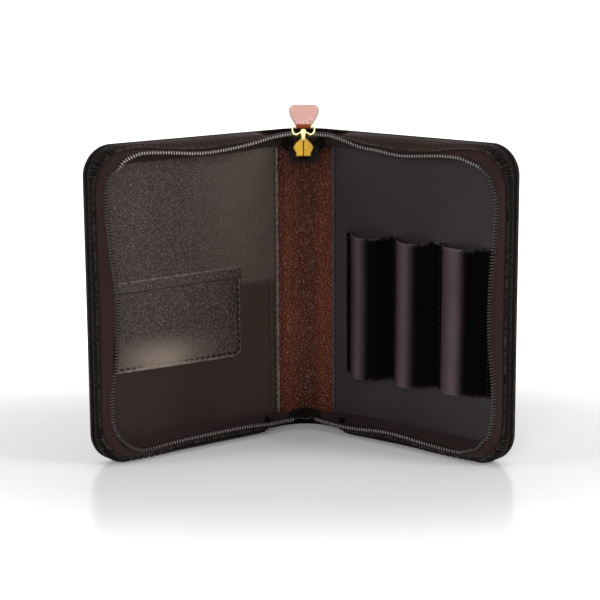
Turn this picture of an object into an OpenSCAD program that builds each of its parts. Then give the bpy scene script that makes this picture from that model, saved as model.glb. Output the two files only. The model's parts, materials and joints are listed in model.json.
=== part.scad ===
// Zip-around leather case for three pens, standing open like a book.
// Origin: centre of the case's box, on the surface it stands on. +Z is up,
// +X runs across the open case, and the case opens towards -Y.
// Cover parts are drawn in cover coordinates: [out from the hinge, depth to the inside, height].

/* [Case] */
// Height of the covers
case_h = 165; // [140:1:200]
// Width of one cover, from its hinge to its outer edge
cover_w = 120; // [105:1:150]
// Thickness of the shut case, which is also the distance between the hinges
closed_t = 32; // [29:0.5:40]
// Radius of the outer corners of each cover
corner_r = 16; // [13:0.5:24]
// Angle of each cover, forward from lying flat
open_angle = 38.5; // [20:0.5:50]
// Gap left at each hinge line
hinge_gap = 0.3; // [0.2:0.05:0.6]

/* [Cover layers] */
// Outer leather
leather_t = 1.2; // [0.8:0.1:1.6]
// Foam padding under the leather
padding_t = 0.8; // [0.5:0.1:1.5]
// Stiff board
board_t = 1.6; // [1:0.1:2.4]
// Inner lining
lining_t = 0.8; // [0.5:0.1:1.2]
// Turned edge of the outer leather
rim_w = 1.2; // [0.8:0.1:1.6]
// Inset of the lining's edge from the cover's edge
lining_inset = 1.6; // [1.4:0.1:3]

/* [Spine] */
// How far the spine bulges behind the hinge lines
spine_bulge = 5.5; // [4.5:0.5:8]
// Thickness of the spine's stiffener
spine_board_t = 1.2; // [0.8:0.1:1.6]
// Width of the spine's stiffener
spine_board_w = 22; // [14:1:24]
// Depth of the folded gusset at the top of the spine
top_fold = 14.3; // [12:0.1:15]
// Depth of the folded gusset at the foot of the spine
foot_fold = 12; // [9:0.5:15]
// Thickness of the end gussets
end_gusset_t = 1; // [0.6:0.1:1.4]

/* [Gusset and zip] */
// Thickness of the gusset leather
gusset_t = 1; // [0.6:0.1:1.3]
// Outer radius of the gusset where it curls inward
curl_r = 8.6; // [7.5:0.1:9.5]
// Angle at which the gusset leather ends on the curl
gusset_end_angle = 40; // [30:1:55]
// Angle at which the tape starts under the gusset
tape_start_angle = 14; // [8:1:20]
// Thickness of the zip tape
tape_t = 0.6; // [0.4:0.05:0.8]
// Radius of the coil
coil_r = 1.2; // [0.9:0.05:1.4]
// Gap between the shut coil and the middle plane of the case
mid_gap = 0.3; // [0.2:0.05:0.6]
// Where the rigid gusset and tape start, measured out from the hinge
ribbon_start = 18; // [17.5:0.5:30]

/* [Slider] */
// Width of the slider's face
slider_w = 11.6; // [10:0.1:13]
// Height of the slider's face
slider_h = 10.2; // [9.5:0.1:12]
// Height of the slider's lower edge below the top of the case
slider_drop = 13.2; // [13:0.1:14.5]
// Thickness of the slider's face plate
face_t = 1.8; // [1.2:0.1:2.2]
// Thickness of the slider's back plate
back_t = 1.2; // [0.8:0.1:1.6]
// Radius of the post between the plates
post_r = 1.6; // [1.2:0.1:1.8]
// Distance of the joined chain in front of the hinge lines
chain_front = 12; // [11.5:0.1:13]
// Height of the clip below the slider
stop_h = 1.2; // [0.8:0.1:1.6]
// Width of the joined chain
chain_w = 5.2; // [4:0.1:6]
// Thickness of the joined chain
chain_t = 2; // [1.6:0.1:2.2]
// Width of the tape at the joined end
end_tape_w = 16; // [12:0.5:20]
// Running clearance between the slider and the chain
chain_gap = 0.35; // [0.2:0.05:0.5]

/* [Pull] */
// Radius of the pull ring's wire
wire_r = 0.65; // [0.5:0.05:0.8]
// Clearance around the wire in its bores
wire_gap = 0.1; // [0.05:0.05:0.1]
// Half width of the pull ring at its widest
ring_half_w = 5.6; // [5:0.1:6.5]
// Distance from the crown to the bar in the tab's fold
ring_reach = 5; // [4.5:0.1:6]
// Radius of the crown
crown_r = 2.2; // [1.8:0.1:2.4]
// Width of the crown
crown_w = 3.2; // [2.4:0.1:3.6]
// Lean of the pull above level
pull_angle = 35; // [30:1:60]
// Length of the tab from the ring's bar
tab_l = 16; // [12:0.5:22]
// Width of the tab's far end
tab_w = 16; // [14:0.5:20]
// Width of the tab at its fold
tab_fold_w = 7.6; // [6:0.1:7.8]
// Thickness of each leather ply of the tab
tab_ply_t = 1.1; // [0.8:0.1:1.3]

/* [Pen loops] */
// Distance of the first seam from the hinge
loop_start = 15.5; // [12:0.5:17]
// Distance of the last seam from the cover's outer edge
loop_margin = 14.5; // [14.5:0.5:20]
// Width of the flat land between two loops
loop_land = 4.6; // [4:0.2:8]
// Height of each loop above the lining
loop_rise = 12; // [9:0.5:14]
// Sideways lean of each loop
loop_lean = 3; // [0:0.5:4]
// Thickness of the loop strip
loop_t = 1.2; // [0.8:0.1:1.6]
// Height of the strip's lower edge
loop_z = 33.5; // [20:0.5:45]
// Length of the loops
loop_h = 78; // [50:1:90]

/* [Pocket] */
// Height of the flap's fold line
flap_top = 88.3; // [75:0.5:95]
// Drop of the pocket's mouth below the flap's fold line
mouth_drop = 4.3; // [3:0.1:15]
// Thickness of the pocket's front panel
pocket_t = 1.2; // [0.9:0.1:1.4]
// Play inside the pocket
pocket_gap = 0.5; // [0.3:0.1:0.6]
// Height of the flap's lower edge
flap_bottom = 48; // [30:1:60]
// Distance of the flap from the hinge
flap_start = 27.5; // [15:0.5:40]
// Width of the flap
flap_w = 80; // [60:1:80]
// Thickness of each ply of the flap
flap_ply_t = 0.6; // [0.4:0.05:0.8]
// Radius of the flap's free corner
flap_r = 5; // [2:0.5:9]
// Width of the strip that holds the flap
flap_band_w = 4.5; // [3:0.5:8]

/* [Stitching] */
// Length of one stitch
stitch_l = 2.2; // [1.5:0.1:3]
// Distance between stitches
stitch_pitch = 3.4; // [3.2:0.1:4.5]
// Thickness of the thread
thread_t = 0.4; // [0.3:0.05:0.6]
// Distance of the stitch rows from the edges
stitch_inset = 1.8; // [1.4:0.1:3]
// Distance of the long stitch rows from the hinges
hinge_row = 3.4; // [2:0.1:5]

/* [Hidden] */
$fn = 48;

black_leather = [0.11, 0.09, 0.09];
black_lining = [0.2, 0.17, 0.17];
brown_leather = [0.33, 0.13, 0.09];
brown_tape = [0.26, 0.12, 0.11];
red_leather = [0.6, 0.3, 0.26];
gold = [0.83, 0.68, 0.3];
black_thread = [0.05, 0.04, 0.04];

// depths of the cover's layers, from its outer face inward
padding_v = leather_t;
board_v = padding_v + padding_t;
lining_v = board_v + board_t;
panel_t = lining_v + lining_t;

// play between layers that are sewn together, and between pieces that only rest near each other
sewn_gap = 0.05;
rest_gap = 0.3;

// the curl that carries the zip: its centre, and the radius of the tape's middle
tape_r = curl_r - gusset_t - tape_t / 2 - sewn_gap;
coil_v = closed_t / 2 - mid_gap - coil_r;
curl_v = coil_v - tape_r;
curl_i = curl_r;
coil_angle = 89;
tape_end_angle = coil_angle - asin(coil_r / tape_r) - 0.5;

// place of the hinges: the case's box is centred on the origin
front_reach = (cover_w - curl_i) * sin(open_angle) + curl_v * cos(open_angle)
    + curl_r * cos(max(0, 90 - open_angle - gusset_end_angle));
back_reach = spine_bulge + hinge_gap;
hinge_y = (front_reach - back_reach) / 2;

// the spine is an arc between the hinges
spine_half = closed_t / 2 - hinge_gap;
spine_r = (spine_half * spine_half + spine_bulge * spine_bulge) / (2 * spine_bulge);

// the joined chain reaches this far into the slider
throat_h = 4;
// patch over the chain's end, metal clip below the slider, and the slider's guides
patch_h = 1.6;
stop_t = 0.9;
guide_t = 0.9;
// share of the face plate that the back plate covers
back_share = 0.84;

// zip end: heights and depths in front of the hinge lines
slider_z = case_h - slider_drop;
slider_top = slider_z + slider_h;
chain_top = slider_z + throat_h;
chain_low = slider_z - stop_h - rest_gap;
post_z = chain_top + post_r + chain_gap;
plate_front = chain_front + chain_t / 2 + chain_gap;
plate_back = chain_front - chain_t / 2 - chain_gap;
ring_z = slider_top + crown_r + rest_gap;
ring_front = plate_front + face_t - 0.6;
guide_x = chain_w / 2 + 1.2;
guide_depth = (plate_front - plate_back - tape_t) / 2 - 0.15;

// flap, pocket and loops
pocket_v = panel_t + pocket_t;
flap_v = pocket_v + rest_gap;
flap_hinge_v = flap_v + flap_ply_t;
pocket_x0 = hinge_row + 2.6;
mouth_z = flap_top - mouth_drop;
loop_pitch = (cover_w - loop_start - loop_margin) / 3;
loop_w = loop_pitch - loop_land;

// ---------- placing ----------

// cover coordinates of the left cover
module on_left() {
    translate([-closed_t / 2, hinge_y, 0]) rotate([0, 0, 180 + open_angle]) children();
}

// cover coordinates of the right cover, the mirror image of the left one
module on_right() {
    mirror([1, 0, 0]) on_left() children();
}

// spine coordinates: y is 0 on the hinge lines, positive behind them
module on_spine() {
    translate([0, hinge_y, 0]) children();
}

// a flat sheet from one depth to another, its outline drawn in [out, height]
module sheet(v0, v1) {
    translate([0, v1, 0]) rotate([90, 0, 0]) linear_extrude(v1 - v0) children();
}

// ---------- cover shapes ----------

// cover outline, inset from its three free edges
module cover_outline(inset, start = hinge_gap) {
    translate([start, inset]) square([cover_w - corner_r - start, case_h - 2 * inset]);
    translate([start, corner_r]) square([cover_w - inset - start, case_h - 2 * corner_r]);
    for (z = [corner_r, case_h - corner_r])
        translate([cover_w - corner_r, z]) circle(corner_r - inset);
}

// carries a section, drawn in [inset, depth], round the three free edges of a cover
module rim_sweep(start) {
    run = cover_w - corner_r - start;
    translate([start, 0, case_h]) rotate([0, 90, 0]) linear_extrude(run) children();
    translate([cover_w - corner_r, 0, 0]) rotate([0, -90, 0]) linear_extrude(run) children();
    translate([cover_w, 0, case_h - corner_r]) rotate([0, 180, 0])
        linear_extrude(case_h - 2 * corner_r) children();
    for (turn = [[corner_r, 0], [case_h - corner_r, -90]])
        translate([cover_w - corner_r, 0, turn[0]]) rotate([-90, 0, 0]) rotate([0, 0, turn[1]])
            rotate_extrude(angle = 90) translate([corner_r, 0]) mirror([1, 0]) children();
}

// a band round the curl between two radii and two angles
module curl_band(r0, r1, a0, a1, steps = 6) {
    arc = [for (k = [0 : steps]) a0 + (a1 - a0) * k / steps];
    polygon(concat(
        [for (a = arc) [curl_i - r1 * cos(a), curl_v + r1 * sin(a)]],
        [for (k = [steps : -1 : 0]) [curl_i - r0 * cos(arc[k]), curl_v + r0 * sin(arc[k])]]
    ));
}

module cover_leather() color(black_leather) {
    sheet(0, leather_t) cover_outline(rim_w);
    rim_sweep(hinge_gap) square([rim_w, lining_v]);
}

module cover_padding() color("dimgray") sheet(padding_v, board_v) cover_outline(rim_w);

module cover_board() color("tan") sheet(board_v, lining_v) cover_outline(rim_w);

module cover_lining() color(black_lining) sheet(lining_v, panel_t) cover_outline(lining_inset);

module cover_gusset() color(black_leather) rim_sweep(ribbon_start) {
    translate([0, lining_v]) square([gusset_t, curl_v - lining_v]);
    curl_band(curl_r - gusset_t, curl_r, 0, gusset_end_angle);
}

module cover_tape() color(brown_tape) rim_sweep(ribbon_start)
    curl_band(tape_r - tape_t / 2, tape_r + tape_t / 2, tape_start_angle, tape_end_angle, 8);

module cover_coil() color(brown_tape) rim_sweep(ribbon_start)
    translate([curl_i - tape_r * cos(coil_angle), curl_v + tape_r * sin(coil_angle)])
        circle(coil_r, $fn = 16);

// metal clip on the coil's end, by the foot of the spine
module cover_top_stop() color(gold)
    translate([ribbon_start - 2.4, coil_v - coil_r, curl_i - tape_r * cos(coil_angle) - coil_r])
        cube([2.4, 2 * coil_r, 2 * coil_r]);

// ---------- stitches ----------

// a row of stitches along +x at depth v, centred on a length
module stitch_row(length, v) {
    count = floor((length - stitch_l) / stitch_pitch);
    for (k = [0 : count])
        translate([(length - count * stitch_pitch - stitch_l) / 2 + k * stitch_pitch, v, 0])
            cube([stitch_l, thread_t, thread_t]);
}

// the same row, standing up
module stitch_column(length, v) {
    translate([thread_t, 0, 0]) rotate([0, -90, 0]) stitch_row(length, v);
}

// the thread that joins gusset and rim, along the straight edges
module rim_thread() color(black_thread) {
    run = cover_w - corner_r - ribbon_start;
    seam_i = gusset_t;
    for (z = [seam_i, case_h - seam_i - thread_t])
        translate([ribbon_start, 0, z]) stitch_row(run, panel_t);
    translate([cover_w - seam_i - thread_t, 0, corner_r])
        stitch_column(case_h - 2 * corner_r, panel_t);
}

// the long row beside the hinge
module hinge_thread() color(black_thread)
    translate([hinge_row, 0, 5]) stitch_column(case_h - 10, panel_t);

// ---------- pocket and flap ----------

module pocket_front() color(black_lining) difference() {
    sheet(panel_t, pocket_v) intersection() {
        cover_outline(lining_inset + 0.2, pocket_x0);
        square([cover_w, mouth_z]);
    }
    translate([pocket_x0 + 4, panel_t - 0.01, lining_inset + 5])
        cube([cover_w - pocket_x0 - 10, pocket_gap + 0.01, mouth_z]);
}

// starts above the end gusset's foot
module pocket_thread() color(black_thread) {
    low = foot_fold / 2 + end_gusset_t + 1;
    translate([pocket_x0 + stitch_inset, 0, low]) stitch_column(mouth_z - low - 2, pocket_v);
}

module flap_band() color(black_lining)
    translate([flap_start, panel_t, flap_top + 0.3]) cube([flap_w, pocket_t, flap_band_w]);

// outline of the flap, with its free corner rounded
module flap_outline() {
    translate([flap_start + flap_r, flap_bottom])
        square([flap_w - flap_r, flap_top - 0.3 - flap_bottom]);
    translate([flap_start, flap_bottom + flap_r])
        square([flap_r, flap_top - 0.3 - flap_bottom - flap_r]);
    translate([flap_start + flap_r, flap_bottom + flap_r]) circle(flap_r);
}

module pocket_flap() color(black_lining)
    sheet(flap_hinge_v, flap_hinge_v + flap_ply_t) flap_outline();

module flap_backing() color(black_leather) sheet(flap_v, flap_hinge_v) flap_outline();

module flap_thread() color(black_thread) {
    face = flap_hinge_v + flap_ply_t;
    translate([flap_start + flap_r, 0, flap_bottom + stitch_inset])
        stitch_row(flap_w - flap_r - 1, face);
    translate([flap_start + stitch_inset, 0, flap_bottom + flap_r])
        stitch_column(flap_top - flap_bottom - flap_r - 1, face);
}

// ---------- pen loops ----------

// points along a half ellipse that leans sideways, from one angle to another
function loop_arch(foot_x, inset, from, to, step) =
    let (half_w = loop_w / 2 - inset, rise = loop_rise - inset)
    [for (p = [from : step : to])
        [foot_x + loop_w / 2 - half_w * cos(p) + loop_lean * rise / loop_rise * sin(p),
            panel_t + rise * sin(p)]];

// the strip seen end on: flat lands at the seams, and a tunnel between them
module loop_section() {
    feet = [for (k = [0 : 2]) loop_start + loop_land / 4 + k * loop_pitch];
    far_end = feet[2] + loop_w + loop_land * 3 / 4;
    polygon(concat(
        [[feet[0] - loop_land / 2, panel_t], [feet[0] - loop_land / 2, panel_t + loop_t]],
        [for (f = feet) each concat([[f, panel_t + loop_t]], loop_arch(f, 0, 10, 170, 10),
            [[f + loop_w, panel_t + loop_t]])],
        [[far_end, panel_t + loop_t], [far_end, panel_t]],
        [for (k = [2 : -1 : 0]) each loop_arch(feet[k], loop_t, 180, 0, -10)]
    ));
}

module pen_loop_strip() color(black_leather)
    translate([0, 0, loop_z]) linear_extrude(loop_h) loop_section();

module loop_thread() color(black_thread) {
    for (k = [1 : 3])
        translate([loop_start - stitch_inset / 2 + k * loop_pitch - thread_t / 2, 0, loop_z])
            stitch_column(loop_h, panel_t + loop_t);
}

// ---------- spine ----------

// part of a ring of the spine's curve, cut to the space behind the hinges
module spine_arc(r0, r1, width) {
    on_spine() intersection() {
        translate([0, spine_bulge + hinge_gap - spine_r, 0]) difference() {
            cylinder(h = case_h, r = r1, $fn = 96);
            translate([0, 0, -1]) cylinder(h = case_h + 2, r = r0, $fn = 96);
        }
        translate([-width / 2, hinge_gap, -1]) cube([width, spine_bulge + 1, case_h + 2]);
    }
}

module spine_leather() color(black_leather)
    spine_arc(spine_r - leather_t, spine_r, 2 * spine_half);

module spine_board() color("tan")
    spine_arc(spine_r - leather_t - spine_board_t, spine_r - leather_t, spine_board_w);

module spine_lining() color(brown_leather)
    spine_arc(spine_r - leather_t - spine_board_t - lining_t,
        spine_r - leather_t - spine_board_t, 2 * spine_half);

// a folded end gusset. u runs across it from -1 to 1, and w from the spine over the fold at
// fold_w to the zip. At its sides it follows the inner faces of the covers, and in the middle
// it reaches forward to the end of the zip.
fold_w = 0.7;
web_start = 2;
web_end = ribbon_start - 1.5;
web_v = pocket_v;
middle_back = spine_bulge - leather_t - spine_board_t - lining_t - rest_gap / 2;
middle_reach = chain_front - chain_t / 2 - 2 * sewn_gap;
function side_out(w) = web_start + (web_end - web_start) * w;
function side_half(w) = closed_t / 2 + side_out(w) * cos(open_angle) - web_v * sin(open_angle);
function side_front(w) = side_out(w) * sin(open_angle) + web_v * cos(open_angle);
function middle_front(w) = (middle_reach + middle_back) * w - middle_back;
function fold_drop(u, w, depth, rise) =
    depth * (1 - 0.5 * u * u) * (w < fold_w ? sin(90 * w / fold_w)
        : 1 - (rise + (0.5 - rise) * u * u) * (w - fold_w) / (1 - fold_w));
function fold_point(u, w, depth, rise) =
    [u * side_half(w), -(side_front(w) * u * u + middle_front(w) * (1 - u * u)),
        case_h - 0.5 - fold_drop(u, w, depth, rise)];

module end_gusset(depth, rise) {
    nu = 16;
    nw = 10;
    outer = [for (j = [0 : nw]) for (k = [0 : nu])
        fold_point(-1 + 2 * k / nu, j / nw, depth, rise)];
    inner = [for (p = outer) p - [0, 0, end_gusset_t]];
    n = len(outer);
    row = nu + 1;
    quads = concat(
        [for (j = [0 : nw - 1])
            [(j + 1) * row + nu, j * row + nu, n + j * row + nu, n + (j + 1) * row + nu]],
        [for (j = [0 : nw - 1]) [j * row, (j + 1) * row, n + (j + 1) * row, n + j * row]],
        [for (k = [0 : nu - 1]) [nw * row + k, nw * row + k + 1, n + nw * row + k + 1, n + nw * row + k]],
        [for (k = [0 : nu - 1]) [k + 1, k, n + k, n + k + 1]],
        [for (j = [0 : nw - 1]) for (k = [0 : nu - 1])
            [n + (j + 1) * row + k, n + (j + 1) * row + k + 1, n + j * row + k + 1, n + j * row + k]],
        [for (j = [0 : nw - 1]) for (k = [0 : nu - 1])
            [j * row + k, j * row + k + 1, (j + 1) * row + k + 1, (j + 1) * row + k]]
    );
    polyhedron(points = concat(outer, inner),
        faces = [for (q = quads) each [[q[0], q[1], q[2]], [q[0], q[2], q[3]]]]);
}

module spine_top_gusset() color(black_leather)
    on_spine() end_gusset(top_fold, 0.06);

module spine_foot_gusset() color(black_leather)
    on_spine() translate([0, 0, case_h]) mirror([0, 0, 1]) end_gusset(foot_fold, 0.6);

// ---------- end of the zip ----------

module chain_end() color(brown_tape) on_spine()
    translate([-chain_w / 2, -chain_front - chain_t / 2, chain_low])
        cube([chain_w, chain_t, chain_top - chain_low]);

// the two tapes, sewn along the chain
module chain_end_tape() color(brown_tape) on_spine() {
    side_w = (end_tape_w - chain_w) / 2;
    for (x = [-end_tape_w / 2, chain_w / 2])
        translate([x, -chain_front - tape_t / 2, chain_low])
            cube([side_w, tape_t, chain_top + 2 - chain_low]);
}

// leather patch that binds the tapes' ends to the end gusset
module zip_end_patch() color(black_leather) on_spine()
    translate([-end_tape_w / 2, -chain_front - chain_t / 2, chain_low - patch_h])
        cube([end_tape_w, chain_t, patch_h]);

// metal clip across the chain, under the slider
module bottom_stop() color(gold) on_spine()
    translate([-chain_w / 2, -chain_front - chain_t / 2 - stop_t, chain_low])
        cube([chain_w, stop_t, stop_h]);

// face of the slider: a shield with a pointed top and a stepped foot
module slider_outline() {
    half = slider_w / 2;
    polygon([[-0.7 * half, 0], [0.7 * half, 0], [0.7 * half, 0.2 * slider_h],
        [0.9 * half, 0.36 * slider_h], [half, 0.5 * slider_h], [0.86 * half, 0.62 * slider_h],
        [0.28 * half, slider_h], [-0.28 * half, slider_h], [-0.86 * half, 0.62 * slider_h],
        [-half, 0.5 * slider_h], [-0.9 * half, 0.36 * slider_h], [-0.7 * half, 0.2 * slider_h]]);
}

// guides that stand up from a plate and close round the tapes
module slider_guides(y0, y1) {
    for (x = [-guide_x - guide_t, guide_x])
        translate([x, min(y0, y1), slider_z]) cube([guide_t, abs(y1 - y0), slider_h / 2]);
}

module slider_face() color(gold) on_spine() {
    translate([0, -plate_front, slider_z]) rotate([90, 0, 0])
        linear_extrude(face_t) slider_outline();
    slider_guides(-plate_front, -plate_front + guide_depth);
}

// back plate with its guides, and the post that joins the plates
module slider_body() color(gold) on_spine() {
    translate([-slider_w * back_share / 2, -plate_back, slider_z])
        cube([slider_w * back_share, back_t, slider_h * back_share]);
    translate([0, -plate_back, post_z]) rotate([90, 0, 0])
        cylinder(h = plate_front - plate_back, r = post_r);
    slider_guides(-plate_back - guide_depth, -plate_back);
}

module slider_crown() color(gold) on_spine() {
    difference() {
        union() {
            translate([-crown_w / 2, -ring_front, ring_z]) rotate([0, 90, 0])
                cylinder(h = crown_w, r = crown_r);
            translate([-crown_w / 2, -plate_front - face_t - 0.5, slider_top - 3])
                cube([crown_w, 0.5, 3]);
            translate([-crown_w / 2, -plate_front - face_t - 0.5, slider_top])
                cube([crown_w, face_t + 0.5, crown_r]);
        }
        translate([-crown_w, -ring_front, ring_z]) rotate([0, 90, 0])
            cylinder(h = 2 * crown_w, r = wire_r + wire_gap);
    }
}

// ---------- pull ----------

// pull coordinates: x across, y along the pull from the crown, z out of its plane
module on_pull() {
    on_spine() translate([0, -ring_front, ring_z]) rotate([pull_angle, 0, 0]) children();
}

// a straight piece of the ring's wire, from a point of the pull's plane along an angle
module wire_bar(x, y, angle, length) {
    translate([x, y, 0]) rotate([0, 0, angle]) rotate([0, 90, 0])
        cylinder(h = length, r = wire_r, $fn = 24);
}

// a round bend of the wire about a centre, from one angle to another
module wire_bend(x, y, bend_r, from, to) {
    translate([x, y, 0]) rotate([0, 0, from]) rotate_extrude(angle = to - from)
        translate([bend_r, 0]) circle(wire_r, $fn = 24);
}

// the ring: a straight bar in the crown, a lobe on each side of it, and a bar in the tab's fold
module pull_ring() color(gold) on_pull() {
    bar_half = crown_w / 2 + 0.15;
    bend_r = 0.75;
    lobe_r = (ring_half_w - bar_half - bend_r) / 2;
    corner = 1.4;
    wire_bar(-bar_half, 0, 0, 2 * bar_half);
    wire_bar(corner - ring_half_w, ring_reach, 0, 2 * (ring_half_w - corner));
    for (side = [0, 1]) mirror([side, 0, 0]) {
        wire_bend(bar_half, -bend_r, bend_r, 0, 90);
        wire_bend(bar_half + bend_r + lobe_r, -bend_r, lobe_r, 180, 360);
        wire_bar(ring_half_w, -bend_r, 90, ring_reach - corner + bend_r);
        wire_bend(ring_half_w - corner, ring_reach - corner, corner, 0, 90);
    }
}

// outline of the tab beyond its fold
module tab_outline() {
    y0 = ring_reach + wire_r + wire_gap + 0.2;
    y1 = ring_reach + tab_l;
    r = 2.5;
    half0 = tab_fold_w / 2 + 1;
    polygon([[-half0, y0], [half0, y0], [tab_w / 2, y1 - r], [tab_w / 2 - 0.3 * r, y1 - 0.3 * r],
        [tab_w / 2 - r, y1], [r - tab_w / 2, y1], [0.3 * r - tab_w / 2, y1 - 0.3 * r],
        [-tab_w / 2, y1 - r]]);
}

module tab_front() color(red_leather) on_pull() linear_extrude(tab_ply_t) tab_outline();

module tab_back() color(brown_leather) on_pull()
    translate([0, 0, -tab_ply_t]) linear_extrude(tab_ply_t) tab_outline();

// the fold that wraps the ring's bar
module tab_fold() color(brown_leather) on_pull() difference() {
    translate([-tab_fold_w / 2, ring_reach, 0]) rotate([0, 90, 0])
        cylinder(h = tab_fold_w, r = wire_r + wire_gap + 0.7, $fn = 32);
    translate([-tab_fold_w, ring_reach, 0]) rotate([0, 90, 0])
        cylinder(h = 2 * tab_fold_w, r = wire_r + wire_gap, $fn = 32);
    translate([-tab_fold_w, ring_reach + wire_r + wire_gap + 0.2, -5]) cube([2 * tab_fold_w, 5, 10]);
}

// ---------- nodes ----------

spine_leather();
spine_board();
spine_lining();
spine_top_gusset();
spine_foot_gusset();
chain_end();
chain_end_tape();
zip_end_patch();
bottom_stop();
on_left() cover_leather();  // left_leather
on_left() cover_padding();  // left_padding
on_left() cover_board();  // left_board
on_left() cover_lining();  // left_lining
on_left() cover_gusset();  // left_gusset
on_left() cover_tape();  // left_tape
on_left() cover_coil();  // left_coil
on_left() cover_top_stop();  // left_top_stop
on_left() rim_thread();  // left_rim_thread
on_left() hinge_thread();  // left_hinge_thread
on_left() pocket_front();
on_left() pocket_thread();
on_left() flap_band();
on_left() pocket_flap();
on_left() flap_backing();
on_left() flap_thread();
on_right() cover_leather();  // right_leather
on_right() cover_padding();  // right_padding
on_right() cover_board();  // right_board
on_right() cover_lining();  // right_lining
on_right() cover_gusset();  // right_gusset
on_right() cover_tape();  // right_tape
on_right() cover_coil();  // right_coil
on_right() cover_top_stop();  // right_top_stop
on_right() rim_thread();  // right_rim_thread
on_right() hinge_thread();  // right_hinge_thread
on_right() pen_loop_strip();
on_right() loop_thread();
slider_body();
slider_face();
slider_crown();
pull_ring();
tab_front();
tab_back();
tab_fold();
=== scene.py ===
"""Zip-around leather case for three pens, standing open like a book.

Lengths inside the functions are millimetres. Sheet coordinates: c runs from the middle of the
spine round the hinge and out over the cover, v is the depth inward from the outer face, z is up.
"""

import json
import math

import bpy
import numpy as np
from bpy.props import FloatProperty, FloatVectorProperty, IntProperty, PointerProperty
from bpy.types import Operator, Panel, PropertyGroup
from mathutils import Matrix, Vector


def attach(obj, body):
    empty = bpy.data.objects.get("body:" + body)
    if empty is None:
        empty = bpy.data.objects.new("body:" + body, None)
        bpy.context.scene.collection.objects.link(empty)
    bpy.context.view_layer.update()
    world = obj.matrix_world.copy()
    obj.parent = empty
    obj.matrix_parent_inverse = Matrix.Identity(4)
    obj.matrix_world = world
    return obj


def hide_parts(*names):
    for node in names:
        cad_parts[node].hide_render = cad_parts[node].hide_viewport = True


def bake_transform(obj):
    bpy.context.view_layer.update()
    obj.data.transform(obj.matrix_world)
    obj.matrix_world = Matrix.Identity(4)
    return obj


bl_info = {
    "name": "Zip-around pen case",
    "version": (1, 0, 0),
    "blender": (4, 5, 0),
    "location": "View3D > Sidebar > Pen case",
    "description": "Builds an open leather pen case with its zip, pocket and pen loops",
    "category": "Object",
}

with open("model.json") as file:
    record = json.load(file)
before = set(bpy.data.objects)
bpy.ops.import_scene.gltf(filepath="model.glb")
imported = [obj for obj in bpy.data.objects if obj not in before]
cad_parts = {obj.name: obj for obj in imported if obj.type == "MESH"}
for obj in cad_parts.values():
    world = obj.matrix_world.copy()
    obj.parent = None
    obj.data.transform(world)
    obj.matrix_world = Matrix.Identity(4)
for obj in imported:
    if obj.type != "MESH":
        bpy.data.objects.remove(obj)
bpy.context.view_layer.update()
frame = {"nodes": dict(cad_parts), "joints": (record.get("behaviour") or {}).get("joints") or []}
JOINTS = {joint["name"]: joint for joint in frame["joints"]}

MM = 0.001
LEFT, RIGHT = -1, 1
SIDES = {LEFT: "left", RIGHT: "right"}

# the case's own measures; the hinge's place is the frame's
HINGE_X, HINGE_Y, _ = (1000 * v for v in JOINTS["right_cover_hinge"]["pos_m"])
OPEN = math.radians(38.5)
COVER_H, COVER_W, CORNER_R = 165.0, 120.0, 16.0
# depths of the linings' faces and of the place where the rim's curl starts, and how far the
# gusset's leather stands in front of the coil's line
PANEL_V, CURL_V, LEATHER_OUT = 4.4, 7.25, 1.35
# diameters of the thread of the rim and hinge rows, of the pocket and loops, and of the flap, and
# the thickness of the cloth
THIN_THREAD, FINE_THREAD, THICK_THREAD, CLOTH = 0.5, 0.45, 1.0, 0.4
WIRE_MERGE = 0.001  # points of wires and threads are joined only when they are this near
CLOTH_STEPS = (110, 40, 90)  # steps of the tape and the gusset's lining along each run, corner and side

# the spine is an arc that runs into both covers without a kink
SPINE_R = HINGE_X / math.sin(OPEN)
SPINE_C = SPINE_R * OPEN
RUN = SPINE_C + COVER_W - CORNER_R
ARC = math.pi / 2 * CORNER_R
SIDE_RUN = COVER_H - 2 * CORNER_R
EDGE_L = 2 * (RUN + ARC) + SIDE_RUN


# ---------- curves and sheets ----------


def through(x, knots):
    """Smooth curve through round knots (x, a, b, ...): cubic Hermite pieces. The slope at a knot is
    the mean of the slopes beside it, and nought where the curve turns back."""
    table = np.array(knots, float)
    at, values = table[:, 0], table[:, 1:]
    step = np.diff(at)
    rise = np.diff(values, axis=0) / step[:, None]
    slope = np.vstack([rise[:1], (rise[1:] + rise[:-1]) / 2, rise[-1:]])
    slope[1:-1][rise[1:] * rise[:-1] <= 0] = 0
    x = np.clip(np.asarray(x, float), at[0], at[-1])
    k = np.clip(np.searchsorted(at, x, side="right") - 1, 0, len(step) - 1)
    u = ((x - at[k]) / step[k])[..., None]
    h = step[k][..., None]
    return (
        (1 + 2 * u) * (1 - u) ** 2 * values[k]
        + u * (1 - u) ** 2 * h * slope[k]
        + u * u * (3 - 2 * u) * values[k + 1]
        - u * u * (1 - u) * h * slope[k + 1]
    )


def ease(x, low, high):
    """Smooth step: 0 below low, 1 above high, 3u^2 - 2u^3 between."""
    u = np.clip((np.asarray(x, float) - low) / (high - low), 0, 1)
    return u * u * (3 - 2 * u)


def mix(a, b, share):
    """a + (b - a) * share."""
    return a + (b - a) * share


def hill(x, centre, width):
    """Bell curve exp(-((x - centre) / width)^2), 1 at its centre."""
    return np.exp(-((x - centre) / width) ** 2)


def round_edge(rim, radius):
    """Height of a quarter circle, 0 at the rim and 1 from a radius inside it."""
    return np.sqrt(np.clip(1 - (1 - np.clip(rim / radius, 0, 1)) ** 2, 0, 1))


def unit(v):
    """Vectors of length one."""
    return v / np.linalg.norm(v, axis=-1, keepdims=True)


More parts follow.
